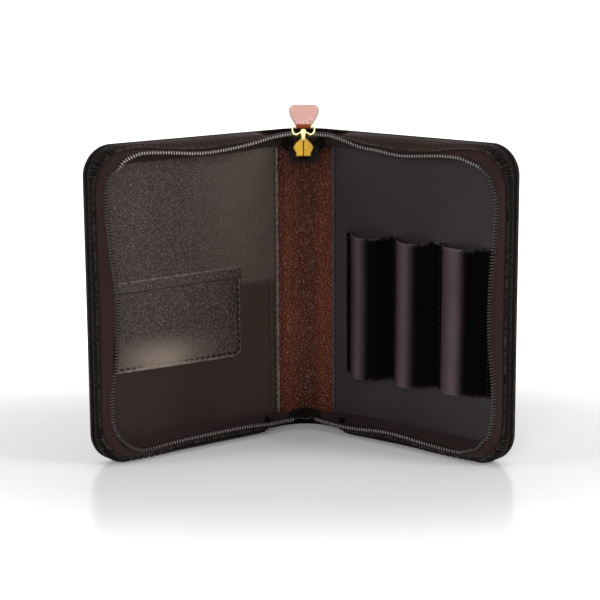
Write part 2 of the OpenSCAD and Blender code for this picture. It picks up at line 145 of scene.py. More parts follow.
def place(side, c, v, z):
    """Sheet coordinates to the case's frame, in metres. Round the spine the sheet turns about the
    arc's centre at radius SPINE_R - v. Past the hinge it goes straight on at the opening angle."""
    c, v, z = np.broadcast_arrays(*(np.asarray(q, float) for q in (c, v, z)))
    turn = np.minimum(c, SPINE_C) / SPINE_R
    past = np.maximum(c - SPINE_C, 0)
    x = side * ((SPINE_R - v) * np.sin(turn) + past * math.cos(OPEN))
    y = HINGE_Y + (SPINE_R - v) * np.cos(turn) - SPINE_R * math.cos(OPEN) - past * math.sin(OPEN)
    return np.stack([x, y, z], -1) * MM


def on_cover(side, out, v, z):
    """Cover coordinates, out from the hinge, to the case's frame."""
    return place(side, SPINE_C + np.asarray(out, float), v, z)


def edge_at(s, inset):
    """(c, z) of the point s along the case's edge and inset from it: out along the top, round the
    corner, down the side, round the lower corner and back. It is a centre line plus the corner
    radius less the inset, in the outward direction."""
    s = np.asarray(s, float)
    a, b, d = RUN + ARC, RUN + ARC + SIDE_RUN, RUN + 2 * ARC + SIDE_RUN
    angle = np.select([s < RUN, s < a, s < b, s < d],
                      [math.pi / 2, math.pi / 2 - (s - RUN) / CORNER_R, 0 * s, (b - s) / CORNER_R],
                      -math.pi / 2)
    mid_c = np.select([s < RUN, s > d], [s, EDGE_L - s], RUN)
    mid_z = np.select([s < a, s < b], [COVER_H - CORNER_R, COVER_H - CORNER_R - (s - a)], CORNER_R)
    reach = CORNER_R - inset
    return mid_c + reach * np.cos(angle), mid_z + reach * np.sin(angle)


def rim_point(side, s, inset, v):
    """A point of the rim, s along the edge, in metres in the case's frame."""
    c, z = edge_at(s, inset)
    return place(side, c, v, z)


def edge_steps(runs, corners, sides):
    """Places along the edge: even steps on each straight and each corner."""
    stops = np.cumsum([0, RUN, ARC, SIDE_RUN, ARC, RUN])
    counts = [runs, corners, sides, corners, runs]
    parts = [np.linspace(stops[k], stops[k + 1], n + 1)[:-1] for k, n in enumerate(counts)]
    return np.concatenate(parts + [stops[-1:]])


def sway(p, size, seed):
    """Slow unevenness between -1 and 1: the mean of three sine waves across the points."""
    q = np.asarray(p, float) / (MM * size)
    turns = np.array([[1.0, 0.6, 0.3], [-0.5, 0.9, 0.7], [0.3, -0.4, 1.1]])
    waves = [np.sin(q @ t * 2 + seed * (k + 1.7)) for k, t in enumerate(turns)]
    return sum(waves) / 3


def uneven(points, amount, size, seed, where):
    """The points moved a little by a slow sway, as far as where lets them."""
    return points + (amount * MM * sway(points, size, seed) * where)[..., None]


# ---------- meshes ----------


def turned(points, quads, toward):
    """The faces, turned over if most of them look away from the direction toward."""
    corner = points[quads]
    normal = np.cross(corner[:, 2] - corner[:, 0], corner[:, 3] - corner[:, 1])
    return quads[:, ::-1] if (normal * toward).sum() < 0 else quads


def grid(points, facing, closed=(False, False), uv=(0, 0), worn=0):
    """A sheet from a rows x columns x 3 array of points. facing is a direction, or one for each point,
    that its faces look along. uv is in millimetres over the sheet. The last argument is a mask of pale
    edges, partly scuffing and partly painted highlight, or that mask and a mask of painted sheen, from
    0 to 1."""
    rows, cols = points.shape[:2]
    r = np.arange(rows if closed[0] else rows - 1)[:, None]
    k = np.arange(cols if closed[1] else cols - 1)[None, :]
    r1, k1 = (r + 1) % rows, (k + 1) % cols
    corners = np.broadcast_arrays(r * cols + k, r * cols + k1, r1 * cols + k1, r1 * cols + k)
    quads = np.stack(corners, -1).reshape(-1, 4)
    flat = points.reshape(-1, 3)
    toward = np.broadcast_to(np.asarray(facing, float).reshape(-1, 3), flat.shape)
    spread = lambda pair: np.stack([np.broadcast_to(q, (rows, cols)).reshape(-1) for q in pair], -1)
    worn = worn if isinstance(worn, tuple) else (worn, 0)
    return flat, turned(flat, quads, toward[quads[:, 0]]), spread(uv), spread(worn)


def join(*sheets):
    """Several sheets as one list of points and faces."""
    start = np.cumsum([0] + [len(s[0]) for s in sheets[:-1]])
    points, quads, uv, worn = zip(*sheets)
    quads = [q + n for q, n in zip(quads, start)]
    return tuple(np.concatenate(q) for q in (points, quads, uv, worn))


def border(q):
    """The outermost points of a grid, taken round it."""
    return np.concatenate([q[0], q[1:-1, -1], q[-1][::-1], q[1:-1, 0][::-1]])


def side_wall(front, back, middle, worn=0):
    """Wall between the borders of two grids of one shape, facing away from a middle point."""
    wall = np.stack([border(front), border(back)])
    return grid(wall, wall - middle, closed=(False, True), worn=worn)


def tube(centre, radius, spare, sides, step, closed=False, worn=0):
    """Round tube along a centre line. spare is a direction that the line never takes, and step is how
    far the uv goes from one point to the next."""
    along = unit(np.roll(centre, -1, 0) - np.roll(centre, 1, 0) if closed else np.gradient(centre, axis=0))
    a = unit(np.cross(along, spare))
    b = np.cross(along, a)
    angle = np.arange(sides) * 2 * math.pi / sides
    turn = angle[None, :, None]
    points = centre[:, None] + radius * MM * (np.cos(turn) * a[:, None] + np.sin(turn) * b[:, None])
    return grid(points, points - centre[:, None], closed=(closed, True),
                uv=(np.arange(len(centre))[:, None] * step, angle[None]), worn=worn)


def new_mesh(name, points, quads):
    """A mesh object from points and faces, linked to the scene."""
    mesh = bpy.data.meshes.new(name)
    mesh.from_pydata(points.tolist(), [], quads.tolist())
    obj = bpy.data.objects.new(name, mesh)
    bpy.context.scene.collection.objects.link(obj)
    return obj


def settle(obj):
    """Applies the modifiers, so the mesh is the finished shape."""
    bpy.context.view_layer.update()
    done = bpy.data.meshes.new_from_object(obj.evaluated_get(bpy.context.evaluated_depsgraph_get()))
    obj.modifiers.clear()
    old, obj.data = obj.data, done
    bpy.data.meshes.remove(old)
    obj.data.name = obj.name


def make(name, sheet, finish, slot, thick=0.0, rounding=0.0, crease=40, merge=0.004):
    """Object from a sheet: points closer than merge joined, thickness and rounded edges added, and
    smooth shading broken at angles sharper than crease, in degrees."""
    points, quads, uv, worn = sheet
    obj = new_mesh(name, points, quads)
    mesh = obj.data
    layer = mesh.uv_layers.new(name="UVMap")
    layer.data.foreach_set("uv", (uv * MM)[quads.reshape(-1)].astype(np.float32).ravel())
    # two painted masks: pale edges, partly scuffing and partly painted highlight, and painted sheen
    for label, values in zip(("worn", "painted_bright"), np.ascontiguousarray(worn.T, np.float32)):
        mesh.attributes.new(label, "FLOAT", "POINT").data.foreach_set("value", values)
    mesh.materials.append(finishes()[finish])
    obj.modifiers.new("weld", "WELD").merge_threshold = merge * MM
    if thick:
        wall = obj.modifiers.new("wall", "SOLIDIFY")
        wall.thickness, wall.offset, wall.use_even_offset = thick * MM, -1.0, False
    if rounding:
        bevel = obj.modifiers.new("rounding", "BEVEL")
        bevel.width, bevel.segments, bevel.limit_method = rounding * MM, 2, "ANGLE"
        bevel.angle_limit = math.radians(50)
    settle(obj)
    obj.data.polygons.foreach_set("use_smooth", np.ones(len(obj.data.polygons), bool))
    obj.data.set_sharp_from_angle(angle=math.radians(crease))
    return obj


def ride_hinge(obj):
    """Keeps a piece that spans the spine and a cover where it was made, by baking its placement into its
    points.
    """
    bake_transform(obj)


def piece(name, sheet, finish, slot, body, *nodes, **shape):
    """A finished piece that rides on a body, or for a side is kept where it was made in the case's frame,
    and hides the nodes that it stands for.
    """
    obj = make(name, sheet, finish, slot, **shape)
    if body in SIDES:
        ride_hinge(obj)
    else:
        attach(obj, body)
    if nodes:
        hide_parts(*nodes)


def sewn(name, rows, body, node):
    """A piece made of stitches."""
    piece(name, rows, "sewing_thread", "thread", body, node, merge=WIRE_MERGE)


def dress(node, finish):
    """Gives a node of the frame a finish."""
    materials = frame["nodes"][node].data.materials
    materials.clear()
    materials.append(finishes()[finish])


def stitches(centres, along, up, length, thread):
    """A row of stitches: rounded threads whose ends dip into the surface. Each is a tube of five
    rings of six, with its radius and its height given ring by ring."""
    along = unit(along)
    across = unit(np.cross(along, up))
    up = np.cross(across, along)
    ring = np.array([-0.5, -0.36, 0, 0.36, 0.5]) * length
    radius = np.array([0.35, 0.9, 1.0, 0.9, 0.35])[:, None] * thread / 2
    height = np.array([-0.6, 0.1, 0.35, 0.1, -0.6])[:, None] * thread
    angle = np.arange(6) * math.pi / 3
    parts = ((ring[:, None] + 0 * angle, along), (radius * np.cos(angle), across),
             (height + radius * np.sin(angle), up))
    local = sum(share[None, :, :, None] * axis[:, None, None] for share, axis in parts)
    points = centres[:, None, None] + local * MM
    first = points[0].reshape(-1, 3)
    # with no direction to face the tube keeps its order of corners, which the ends' order fits
    tube_faces = grid(points[0], (0, 0, 0), closed=(False, True))[1]
    ends = np.array([[5, 4, 3, 2], [5, 2, 1, 0], [24, 25, 26, 27], [24, 27, 28, 29]])
    faces = np.concatenate([tube_faces, ends])
    faces = turned(first, faces, first[faces].mean(1) - centres[0])
    quads = (faces[None] + len(first) * np.arange(len(centres))[:, None, None]).reshape(-1, 4)
    uv = np.stack(np.broadcast_arrays(ring[:, None], angle, points[..., 0])[:2], -1)
    return points.reshape(-1, 3), quads, uv.reshape(-1, 2), np.zeros((points.size // 3, 2))


def row_of_stitches(line, thread, up, spread=1.0):
    """Stitches at even steps along a line given as points, with the surface's direction up."""
    sizes = bpy.context.scene.pen_case_sizes
    pitch, length = sizes.stitch_pitch * spread / MM, sizes.stitch_length / MM
    gaps = np.linalg.norm(np.diff(line, axis=0), axis=1)
    s = np.concatenate([[0], np.cumsum(gaps)])
    at = np.arange(0.5 * pitch * MM, s[-1] - 0.4 * pitch * MM, pitch * MM)
    step = 0.4 * length * MM
    pick = lambda values, t: np.stack([np.interp(t, s, values[:, k]) for k in range(3)], -1)
    up = np.broadcast_to(np.asarray(up, float), line.shape)
    along = pick(line, at + step) - pick(line, at - step)
    return stitches(pick(line, at), along, pick(up, at), length, thread)


# ---------- finishes ----------

DOT_LIGHT = (0.6, 0.52, 0.5)  # colour of the light on the coil's turns
THREADS_PER_METRE = 1700.0  # how fine the cloth is


def feed(tree, node, **inputs):
    """Gives a node's inputs their values, or links them to sockets. i0, i1 and so on name an input by
    its place, and an underscore stands for a space."""
    for key, value in inputs.items():
        socket = node.inputs[int(key[1:]) if key[1:].isdigit() else key.replace("_", " ")]
        if isinstance(value, bpy.types.NodeSocket):
            tree.links.new(value, socket)
        else:
            socket.default_value = value
    return node


def add(tree, kind, set_to=None, **inputs):
    """A shader node with its settings and its inputs."""
    made = tree.nodes.new("ShaderNode" + kind)
    for key, value in (set_to or {}).items():
        setattr(made, key, value)
    return feed(tree, made, **inputs)


def sums(tree, operation, *values):
    """One Math node's result."""
    inputs = {f"i{k}": value for k, value in enumerate(values)}
    return add(tree, "Math", {"operation": operation}, **inputs).outputs[0]


def times(tree, a, b):
    """Product of two values or sockets."""
    return sums(tree, "MULTIPLY", a, b)


def plus(tree, a, b):
    """Sum of two values or sockets."""
    return sums(tree, "ADD", a, b)


def object_at(tree):
    """The place on the object."""
    return add(tree, "TexCoord").outputs["Object"]


def sheet_at(tree):
    """The place on the sheet."""
    return add(tree, "UVMap", {"uv_map": "UVMap"}).outputs[0]


def painted(tree, label):
    """A value painted on the mesh."""
    return add(tree, "Attribute", {"attribute_name": label}).outputs["Fac"]


def noise(tree, at, scale, detail):
    """Even noise that varies round 0.5."""
    return add(tree, "TexNoise", Vector=at, Scale=scale, Detail=detail).outputs["Fac"]


def ramp(tree, value, low, high, kind="LINEAR", **ends):
    """0 below low, 1 above high, or other ends if given, with a straight or a smooth rise between."""
    return add(tree, "MapRange", {"interpolation_type": kind}, Value=value, From_Min=low, From_Max=high,
               **ends).outputs[0]


def raised(tree, strength, distance, height):
    """The surface's direction, bumped by a height."""
    return add(tree, "Bump", Strength=strength, Distance=distance, Height=height).outputs[0]


def blend_colour(tree, share, a, b, kind="MIX"):
    """Mix of two colours."""
    return add(tree, "Mix", {"data_type": "RGBA", "blend_type": kind}, i0=share, i6=a, i7=b).outputs[2]


def use_group(tree, name, **inputs):
    """One of the shared node groups."""
    return add(tree, "Group", {"node_tree": bpy.data.node_groups[name]}, **inputs).outputs


def group(name, takes, gives):
    """A new shader node group that takes a vector and named values and gives named values."""
    tree = bpy.data.node_groups.new(name, "ShaderNodeTree")
    tree.interface.new_socket("Vector", in_out="INPUT", socket_type="NodeSocketVector")
    for label, value in takes.items():
        tree.interface.new_socket(label, in_out="INPUT", socket_type="NodeSocketFloat").default_value = value
    for label in gives:
        tree.interface.new_socket(label, in_out="OUTPUT", socket_type="NodeSocketFloat")
    return tree, tree.nodes.new("NodeGroupInput").outputs, tree.nodes.new("NodeGroupOutput")


def grain_group():
    """Leather grain: rounded pebbles parted by creases, fine pores, and a slow change of tone."""
    tree, given, out = group("leather_grain", {"Pebbles": 900.0, "Creases": 0.6},
                             ("Height", "Tone", "Crease"))
    at, pebbles = given["Vector"], given["Pebbles"]
    warp = add(tree, "TexNoise", Vector=at, Scale=260.0, Detail=2.0).outputs["Color"]
    shift = add(tree, "VectorMath", {"operation": "SCALE"}, Vector=warp, Scale=0.0008).outputs[0]
    warped = add(tree, "VectorMath", {"operation": "ADD"}, i0=at, i1=shift).outputs[0]
    cells = add(tree, "TexVoronoi", {"feature": "DISTANCE_TO_EDGE"}, Vector=warped, Scale=pebbles)
    edge = ramp(tree, cells.outputs["Distance"], 0.0, 0.32, "SMOOTHSTEP")
    fine = noise(tree, at, times(tree, pebbles, 2.6), 2.0)
    height = add(tree, "Mix", i0=given["Creases"], i2=fine, i3=edge).outputs[0]
    tone = ramp(tree, noise(tree, at, 38.0, 3.0), 0.3, 0.7)
    feed(tree, out, Height=height, Tone=tone, Crease=sums(tree, "SUBTRACT", 1.0, edge))


def scuff_and_highlight_group():
    """Pale edges, partly scuffing and partly painted highlight: the painted mask, broken up by fine noise.
    """
    tree, given, out = group("edge_scuff_and_highlight", {"Worn": 0.0, "Amount": 0.5}, ("Mask",))
    patchy = ramp(tree, noise(tree, given["Vector"], 420.0, 4.0), 0.35, 0.62)
    feed(tree, out, Mask=times(tree, times(tree, given["Worn"], patchy), given["Amount"]))


def weave_group():
    """Woven cloth: warp and weft threads as two crossed waves, each pass over and under in turn."""
    tree, given, out = group("woven_cloth", {"Threads": THREADS_PER_METRE}, ("Height", "Tone"))
    split = add(tree, "SeparateXYZ", Vector=given["Vector"]).outputs
    turn = times(tree, given["Threads"], math.pi)
    warp, weft = (sums(tree, "SINE", times(tree, split[k], turn)) for k in (0, 1))
    height = plus(tree, times(tree, times(tree, warp, weft), 0.5), 0.5)
    fuzz = times(tree, noise(tree, given["Vector"], 300.0, 3.0), 0.4)
    feed(tree, out, Height=height, Tone=plus(tree, times(tree, height, 0.6), fuzz))


def new_material(name):
    """Empty node material with its Principled shader and output."""
    material = bpy.data.materials.new(name)
    material.use_nodes = True
    tree = material.node_tree
    tree.nodes.clear()
    shader = add(tree, "BsdfPrincipled")
    add(tree, "OutputMaterial", i0=shader.outputs[0])
    return material, tree, shader


def rgb(colour):
    """Colour to a socket's four values."""
    return (*colour[:3], 1.0)


def shade(colour, share):
    """A colour that many times as light."""
    return tuple(share * v for v in colour)


def leather(name, colour, dark, edge, pebbles=1500.0, creases=0.35, bump=0.00009, rough=0.36, specular=0.15,
            wear=0.5, glint_flecks=0.0, tint=(1.0, 0.88, 0.82), painted_bright=(5.0, 5.0, 5.0)):
    """Leather: pebbled bump, darker creases, painted glints as lighter flecks where the grain stands
    proud, a slow change of tone, and pale edges, partly scuffing and partly painted highlight. Where
    the painted sheen mask lies, its colour is made that many times as light, and the glints fade."""
    material, tree, shader = new_material(name)
    at = object_at(tree)
    grain = use_group(tree, "leather_grain", Vector=at, Pebbles=pebbles, Creases=creases)
    mask = use_group(tree, "edge_scuff_and_highlight", Vector=at, Worn=painted(tree, "worn"), Amount=wear)["Mask"]
    base = blend_colour(tree, times(tree, grain["Tone"], 0.6), rgb(colour), rgb(dark))
    base = blend_colour(tree, times(tree, grain["Crease"], 0.55), base, rgb(dark))
    # painted sheen: the colour made lighter where the painted mask lies
    share = painted(tree, "painted_bright")
    base = blend_colour(tree, share, base, rgb(painted_bright), "MULTIPLY")
    # painted glints on the proud grain
    proud = ramp(tree, grain["Height"], 0.5, 0.62, To_Max=glint_flecks)
    proud = times(tree, proud, sums(tree, "SUBTRACT", 1.0, times(tree, share, 0.75)))
    base = blend_colour(tree, proud, base, rgb([4 * v + 0.05 for v in colour]))
    dull = plus(tree, rough, times(tree, grain["Tone"], 0.1))
    dull = sums(tree, "SUBTRACT", dull, times(tree, mask, 0.15))
    feed(tree, shader, Base_Color=blend_colour(tree, mask, base, rgb(edge)), Roughness=dull,
         Normal=raised(tree, 1.0, bump, grain["Height"]), Specular_IOR_Level=specular,
         Specular_Tint=rgb(tint))
    return material


def cloth(name, colour, dark):
    """Woven tape: crossed threads in the sheet's own coordinates, darker between them."""
    material, tree, shader = new_material(name)
    weave = use_group(tree, "woven_cloth", Vector=sheet_at(tree), Threads=THREADS_PER_METRE)
    feed(tree, shader, Base_Color=blend_colour(tree, weave["Tone"], rgb(dark), rgb(colour)), Roughness=0.85,
         Normal=raised(tree, 0.8, 0.00012, weave["Height"]), Specular_IOR_Level=0.2, Sheen_Weight=0.04,
         Sheen_Roughness=0.5)
    return material


def spun(name, colour, dark, rough, specular, twist):
    """Thread or moulded coil: fine slanted strands along the piece's own coordinates, and painted
    highlights, pale dots of light, where the painted mask lies."""
    material, tree, shader = new_material(name)
    at = sheet_at(tree)
    wave = add(tree, "TexWave", Vector=at, Scale=twist, Distortion=1.5, Detail=2.0).outputs["Fac"]
    mottle = noise(tree, object_at(tree), 700.0, 3.0)
    tone = plus(tree, times(tree, wave, 0.4), times(tree, mottle, 0.6))
    base = blend_colour(tree, tone, rgb(dark), rgb(colour))
    feed(tree, shader, Base_Color=blend_colour(tree, painted(tree, "worn"), base, rgb(DOT_LIGHT)),
         Roughness=plus(tree, rough, times(tree, mottle, 0.1)), Normal=raised(tree, 0.6, 0.00005, wave),
         Specular_IOR_Level=specular)
    return material


def plated(name, colour, dark):
    """Gilt metal: polished, with faint brushing, smears of tone and dulled patches."""
    material, tree, shader = new_material(name)
    at = object_at(tree)
    brush = noise(tree, add(tree, "Mapping", Vector=at, Scale=(1.0, 1.0, 6.0)).outputs[0], 1400.0, 2.0)
    smear = noise(tree, at, 260.0, 3.0)
    feed(tree, shader, Base_Color=blend_colour(tree, smear, rgb(dark), rgb(colour)), Metallic=1.0,
         Roughness=plus(tree, 0.36, times(tree, smear, 0.2)), Normal=raised(tree, 0.3, 0.00003, brush))
    return material


def fibre(name, colour, dark):
    """Board: mottled fibres."""
    material, tree, shader = new_material(name)
    mottle = noise(tree, object_at(tree), 500.0, 5.0)
    feed(tree, shader, Base_Color=blend_colour(tree, mottle, rgb(dark), rgb(colour)), Roughness=0.9,
         Normal=raised(tree, 0.5, 0.0001, mottle))
    return material


FINISHES = {}


def finishes():
    """Every finish of the case, made once and kept by name."""
    if FINISHES:
        return FINISHES
    grain_group()
    scuff_and_highlight_group()
    weave_group()
    hue = bpy.context.scene.pen_case_colours
    black, lining, smooth, tape = hue.outer_leather, hue.lining, hue.smooth, hue.tape
    brown, red, rust, edge = hue.spine_lining, hue.tab, hue.tab_edge, hue.scuff_and_highlight_edge
    # the last colour of each leather is how many times lighter its painted sheen makes it
    for made in (
        leather("case_black", black, shade(black, 0.4), edge, pebbles=700.0, creases=0.55, bump=0.0004,
                rough=0.42, specular=0.03, painted_bright=(12.0, 9.5, 9.0)),
        leather("grained_lining", lining, shade(lining, 0.4), shade(edge, 2.0), pebbles=620.0, creases=0.1,
                bump=0.0006, rough=0.34, specular=0.3, glint_flecks=1.0, wear=1.0, painted_bright=(20.0, 28.0, 29.0)),
        leather("smooth_lining", smooth, shade(smooth, 0.7), edge, specular=0.18, tint=(1.0, 0.94, 1.0)),
        leather("pocket_lining", shade(lining, 1.1), shade(lining, 0.8), edge, rough=0.4,
                painted_bright=(6.0, 8.0, 8.0)),
        # the loops' leather is the smooth lining darkened to under a tenth, so their flanks read black as
        # painted shade, and their painted crest highlight makes them about sixty times as light
        leather("loop_leather", shade(smooth, 0.08), shade(smooth, 0.05), edge, specular=0.01,
                painted_bright=(66.0, 60.0, 60.0)),
        leather("pebbled_brown", brown, shade(brown, 0.3), shade(brown, 2), pebbles=520.0, creases=0.55,
                bump=0.0012, rough=0.3, specular=0.35, glint_flecks=0.03, painted_bright=(1.8, 1.8, 1.8)),
        # the tab's face is painted a light pink, lighter than its brown-red leather, as a painted highlight
        # of the strong light from above
        leather("tab_lit_face", red, shade(red, 0.6), shade(red, 0.45), pebbles=800.0, creases=0.5,
                bump=0.0004, rough=0.5, specular=0.3),
        leather("tab_rust", rust, shade(rust, 0.5), shade(rust, 1.5), pebbles=900.0, creases=0.5,
                bump=0.0002, rough=0.5),
        cloth("tape_cloth", tape, shade(tape, 0.35)),
        # the gusset's lining is the tape's cloth darkened: painted shade inside the rim
        cloth("gusset_shaded_cloth", shade(tape, 0.6), shade(tape, 0.2)),
        # the zip's closed end and its binding are the tape's cloth made almost black: partly the tapes' dark
        # ends, partly painted shade of the slider's shadow
        cloth("tape_shadow_cloth", shade(tape, 0.12), shade(tape, 0.05)),
        spun("coil_nylon", hue.coil, shade(hue.coil, 0.4), 0.3, 0.35, 400.0),
        spun("sewing_thread", hue.thread, shade(hue.thread, 0.4), 0.6, 0.2, 900.0),
        plated("pale_gilt", hue.wire, shade(hue.wire, 0.6)),
        plated("gilt", hue.metal, shade(hue.metal, 0.6)),
        fibre("grey_board", (0.4, 0.35, 0.26), (0.25, 0.21, 0.15)),
    ):
        FINISHES[made.name] = made
    return FINISHES


# ---------- the rim: gusset, tape and coil ----------

# where the coil runs: (place along the edge, inset, depth). The case is handmade, so it wanders.
COIL_LINE = {
    LEFT: [(1.5, 7.0, 17.6), (4, 4.4, 17.3), (8, 2.2, 16.6), (16, 1.1, 15.2), (20, 1.3, 14.8),
           (30, 2.2, 14.5), (44, 4.6, 14.5), (58, 6.2, 14.5), (73, 7, 14.5), (98, 4.8, 14.5),
           (110, 4.2, 14.5), (118, 6, 14.5), (124, 8.4, 14.5), (133, 10, 14.5), (142, 8.2, 14.5),
           (151, 5.4, 14.5), (158, 4.6, 14.5), (178, 6.3, 14.5), (212, 10, 14.5), (240, 8, 14.5),
           (262, 5.1, 14.5), (272, 5.6, 14.5), (282, 9.2, 14.5), (292, 10.3, 14.5), (303, 9, 14.5),
           (312, 5.6, 14.5), (334, 6.8, 14.5), (356, 7.1, 14.5), (376, 7, 14.5), (396, 5.8, 14.6),
           (410, 6, 15.2), (418, 6.4, 16.4), (426, 6, 17.4)],
    RIGHT: [(1.5, 7.0, 17.6), (4, 4.4, 17.3), (8, 2.4, 16.6), (16, 1.6, 15.2), (20, 1.4, 14.8),
            (27, 1.6, 14.5), (38, 3.8, 14.5), (48, 6.2, 14.5), (58, 7, 14.5), (73, 8.6, 14.5),
            (102, 6.8, 14.5), (111, 7.2, 14.5), (118, 9.2, 14.5), (124, 10.5, 14.5), (132, 11.4, 14.5),
            (146, 9, 14.5), (153, 6.1, 14.5), (160, 4.4, 14.5), (181, 5.6, 14.5), (213, 7.4, 14.5),
            (228, 7.1, 14.5), (254, 4.6, 14.5), (266, 4.4, 14.5), (276, 6.4, 14.5), (289, 9.8, 14.5),
            (303, 8, 14.5), (316, 4.6, 14.5), (331, 5.1, 14.5), (360, 6.9, 14.5), (388, 4.9, 14.5),
            (404, 5.6, 15), (414, 6.6, 16), (426, 6, 17.4)],
}
# the crease where the folded ends turn: (distance from the spine's middle, inset, depth)
TOP_CREASE = [(0, 15, 15.4), (9, 13.8, 15.2), (14, 12.4, 14.8), (17.3, 11, 14), (19.2, 9, 12),
              (21.6, 8, 8.4), (25, 8.2, 5.8), (30, 8.6, 4.8), (40, 9.4, 4.6), (60, 10, 4.6)]
FOOT_CREASE = [(0, 12.5, 15.4), (9, 12, 15.2), (14, 11.2, 14.6), (17.3, 10.3, 13.5), (19.2, 9.6, 11.5),
               (21.6, 9.2, 8.4), (25, 9.2, 5.8), (30, 9.2, 4.8), (40, 9.4, 4.6), (60, 9.6, 4.6)]
# where the coil stops, before the case's foot, and the radius of its winding
COIL_END, COIL_RADIUS = EDGE_L - 15.5, 0.9
# shares of the gusset's section: where its wall turns into the curl, and where the tape meets the coil
WALL_END, TAPE_END = 0.3, 0.93


def spine_way(s):
    """Distance along the edge from the nearer spine end, and how far each place is one of the two
    folded ends: 1 at the spine's middle, 0 beyond the hinge."""
    near = np.minimum(s, EDGE_L - s)
    return near, 1 - ease(near, 17, 38)


def crease_at(s):
    """Inset and depth of the crease, or of the lining's edge where there is no fold."""
    near, _ = spine_way(s)
    line = np.where((s < EDGE_L / 2)[..., None], through(near, TOP_CREASE), through(near, FOOT_CREASE))
    return line[..., 0], line[..., 1]


def leather_ends(s):
    """Share of the gusset's section that the leather covers. It stops early in the curl down the side,
    reaches further round the corners and on the straight runs, and ends near the coil in the folds."""
    near, folded = spine_way(s)
    side = ease(near, RUN + 0.6 * ARC, RUN + 1.2 * ARC)
    share = mix(mix(0.86, 0.64, ease(near, RUN - 30, RUN)), 0.47, side)
    return mix(share, TAPE_END, ease(folded, 0, 0.7)) - 0.2 * (1 - ease(s, 8, 20))


def gusset_section(side, s, t, depth):
    """Inset and depth of the gusset, t from the seam (0) to the coil (1), depth below its outer face.
    Past the hinges it is a short wall and then a quarter ellipse that curls in to the coil. At the
    spine's ends it falls to the crease and climbs to the coil. The two are mixed between."""
    coil = through(s, COIL_LINE[side])
    coil_i, coil_v = coil[..., 0], coil[..., 1]
    _, folded = spine_way(s)
    crease_i, crease_v = crease_at(s)
    angle = np.clip((t - WALL_END) / (1 - WALL_END), 0, 1) * math.pi / 2
    up = np.clip(t / WALL_END, 0, 1)
    curl_i = depth + 0.5 * (1 - up) ** 2 + (coil_i - depth) * (1 - np.cos(angle))
    curl_v = mix(4.5, CURL_V, up) + (coil_v + LEATHER_OUT - depth - CURL_V) * np.sin(angle)
    down = np.clip(t / 0.55, 0, 1)
    climb = ease(t, 0.5, 1.0)
    fold_i = 0.5 + (crease_i - 0.5) * np.sin(down * math.pi / 2) + 0.8 * (depth - 1) * (1 - climb)
    fold_v = mix(3.4, crease_v, down) + 0.9 * (depth - 1) * climb
    fold_i = mix(fold_i, coil_i - 0.4, climb)
    fold_v = mix(fold_v, coil_v, climb)
    return mix(curl_i, fold_i, folded), mix(curl_v, fold_v, folded)


def section_point(side, s, t, depth):
    """A point of the gusset in the case's frame."""
    return rim_point(side, s, *gusset_section(side, s, t, depth))


def pleats(s):
    """Small gathers of the leather round the corners: uneven waves, about twelve to a corner, faded out
    on the straights."""
    first, second = RUN + ARC / 2, EDGE_L - RUN - ARC / 2
    near = np.minimum(np.abs(s - first), np.abs(s - second))
    phase = np.where(s < EDGE_L / 2, s - first, s - second)
    turn = phase / ARC * 2 * math.pi
    wide = np.cos(12 * turn + 1.6 * np.sin(phase * 0.7))
    narrow = np.cos(19 * turn + np.sin(phase * 1.3))
    return (0.6 * wide + 0.4 * narrow) * (1 - ease(near, ARC * 0.42, ARC * 0.75))


def gusset_sheet(side):
    """Outer gusset leather from the seam to its free edge, gathered at the corners. Over its first and
    last 40 mm, where it folds, its steps are a millimetre."""
    fine = np.arange(0, 40, 1.0)
    s = np.concatenate([fine, edge_steps(60, 100, 60)[21:-21], EDGE_L - fine[::-1]])
    s = np.unique(np.round(s, 3))[:, None]
    share = np.linspace(0, 1, 30)[None, :]
    t = share * leather_ends(s)
    inset, v = gusset_section(side, s, t, 0.0)
    depth = bpy.context.scene.pen_case_sizes.pleat_depth / MM
    points = rim_point(side, s, inset + depth * pleats(s) * ease(share, 0.15, 0.9), v)
    points = uneven(points, 0.12, 9, side, ease(share, 0.1, 0.5))
    # the free edge and the pleats' crests are painted pale, partly scuffing and partly painted highlight
    crests = np.clip(-pleats(s), 0, 1) * ease(share, 0.2, 0.8)
    worn = np.clip(ease(share, 0.9, 1.0) * 0.5 + 0.5 * crests, 0, 1)
    # painted sheen along the top run, as if lit from above
    painted_top_sheen = 0.8 * (1 - ease(s, RUN - 12, RUN + 10)) * ease(share, 0.05, 0.2) * ease(s, 18, 30)
    return grid(points, points - section_point(side, s, t, 1.2), uv=(s, share * 12), worn=(worn, painted_top_sheen))


def tape_sheet(side):
    """Zip tape from under the leather's free edge to the coil."""
    s = edge_steps(*CLOTH_STEPS)
    s = s[(s > 3) & (s < COIL_END + 2)][:, None]
    share = np.linspace(0, 1, 14)[None, :]
    t = mix(leather_ends(s) - 0.1, TAPE_END, share)
    points = section_point(side, s, t, 1.2)
    return grid(points, points - section_point(side, s, t, 2.2), uv=(s, share * 9))


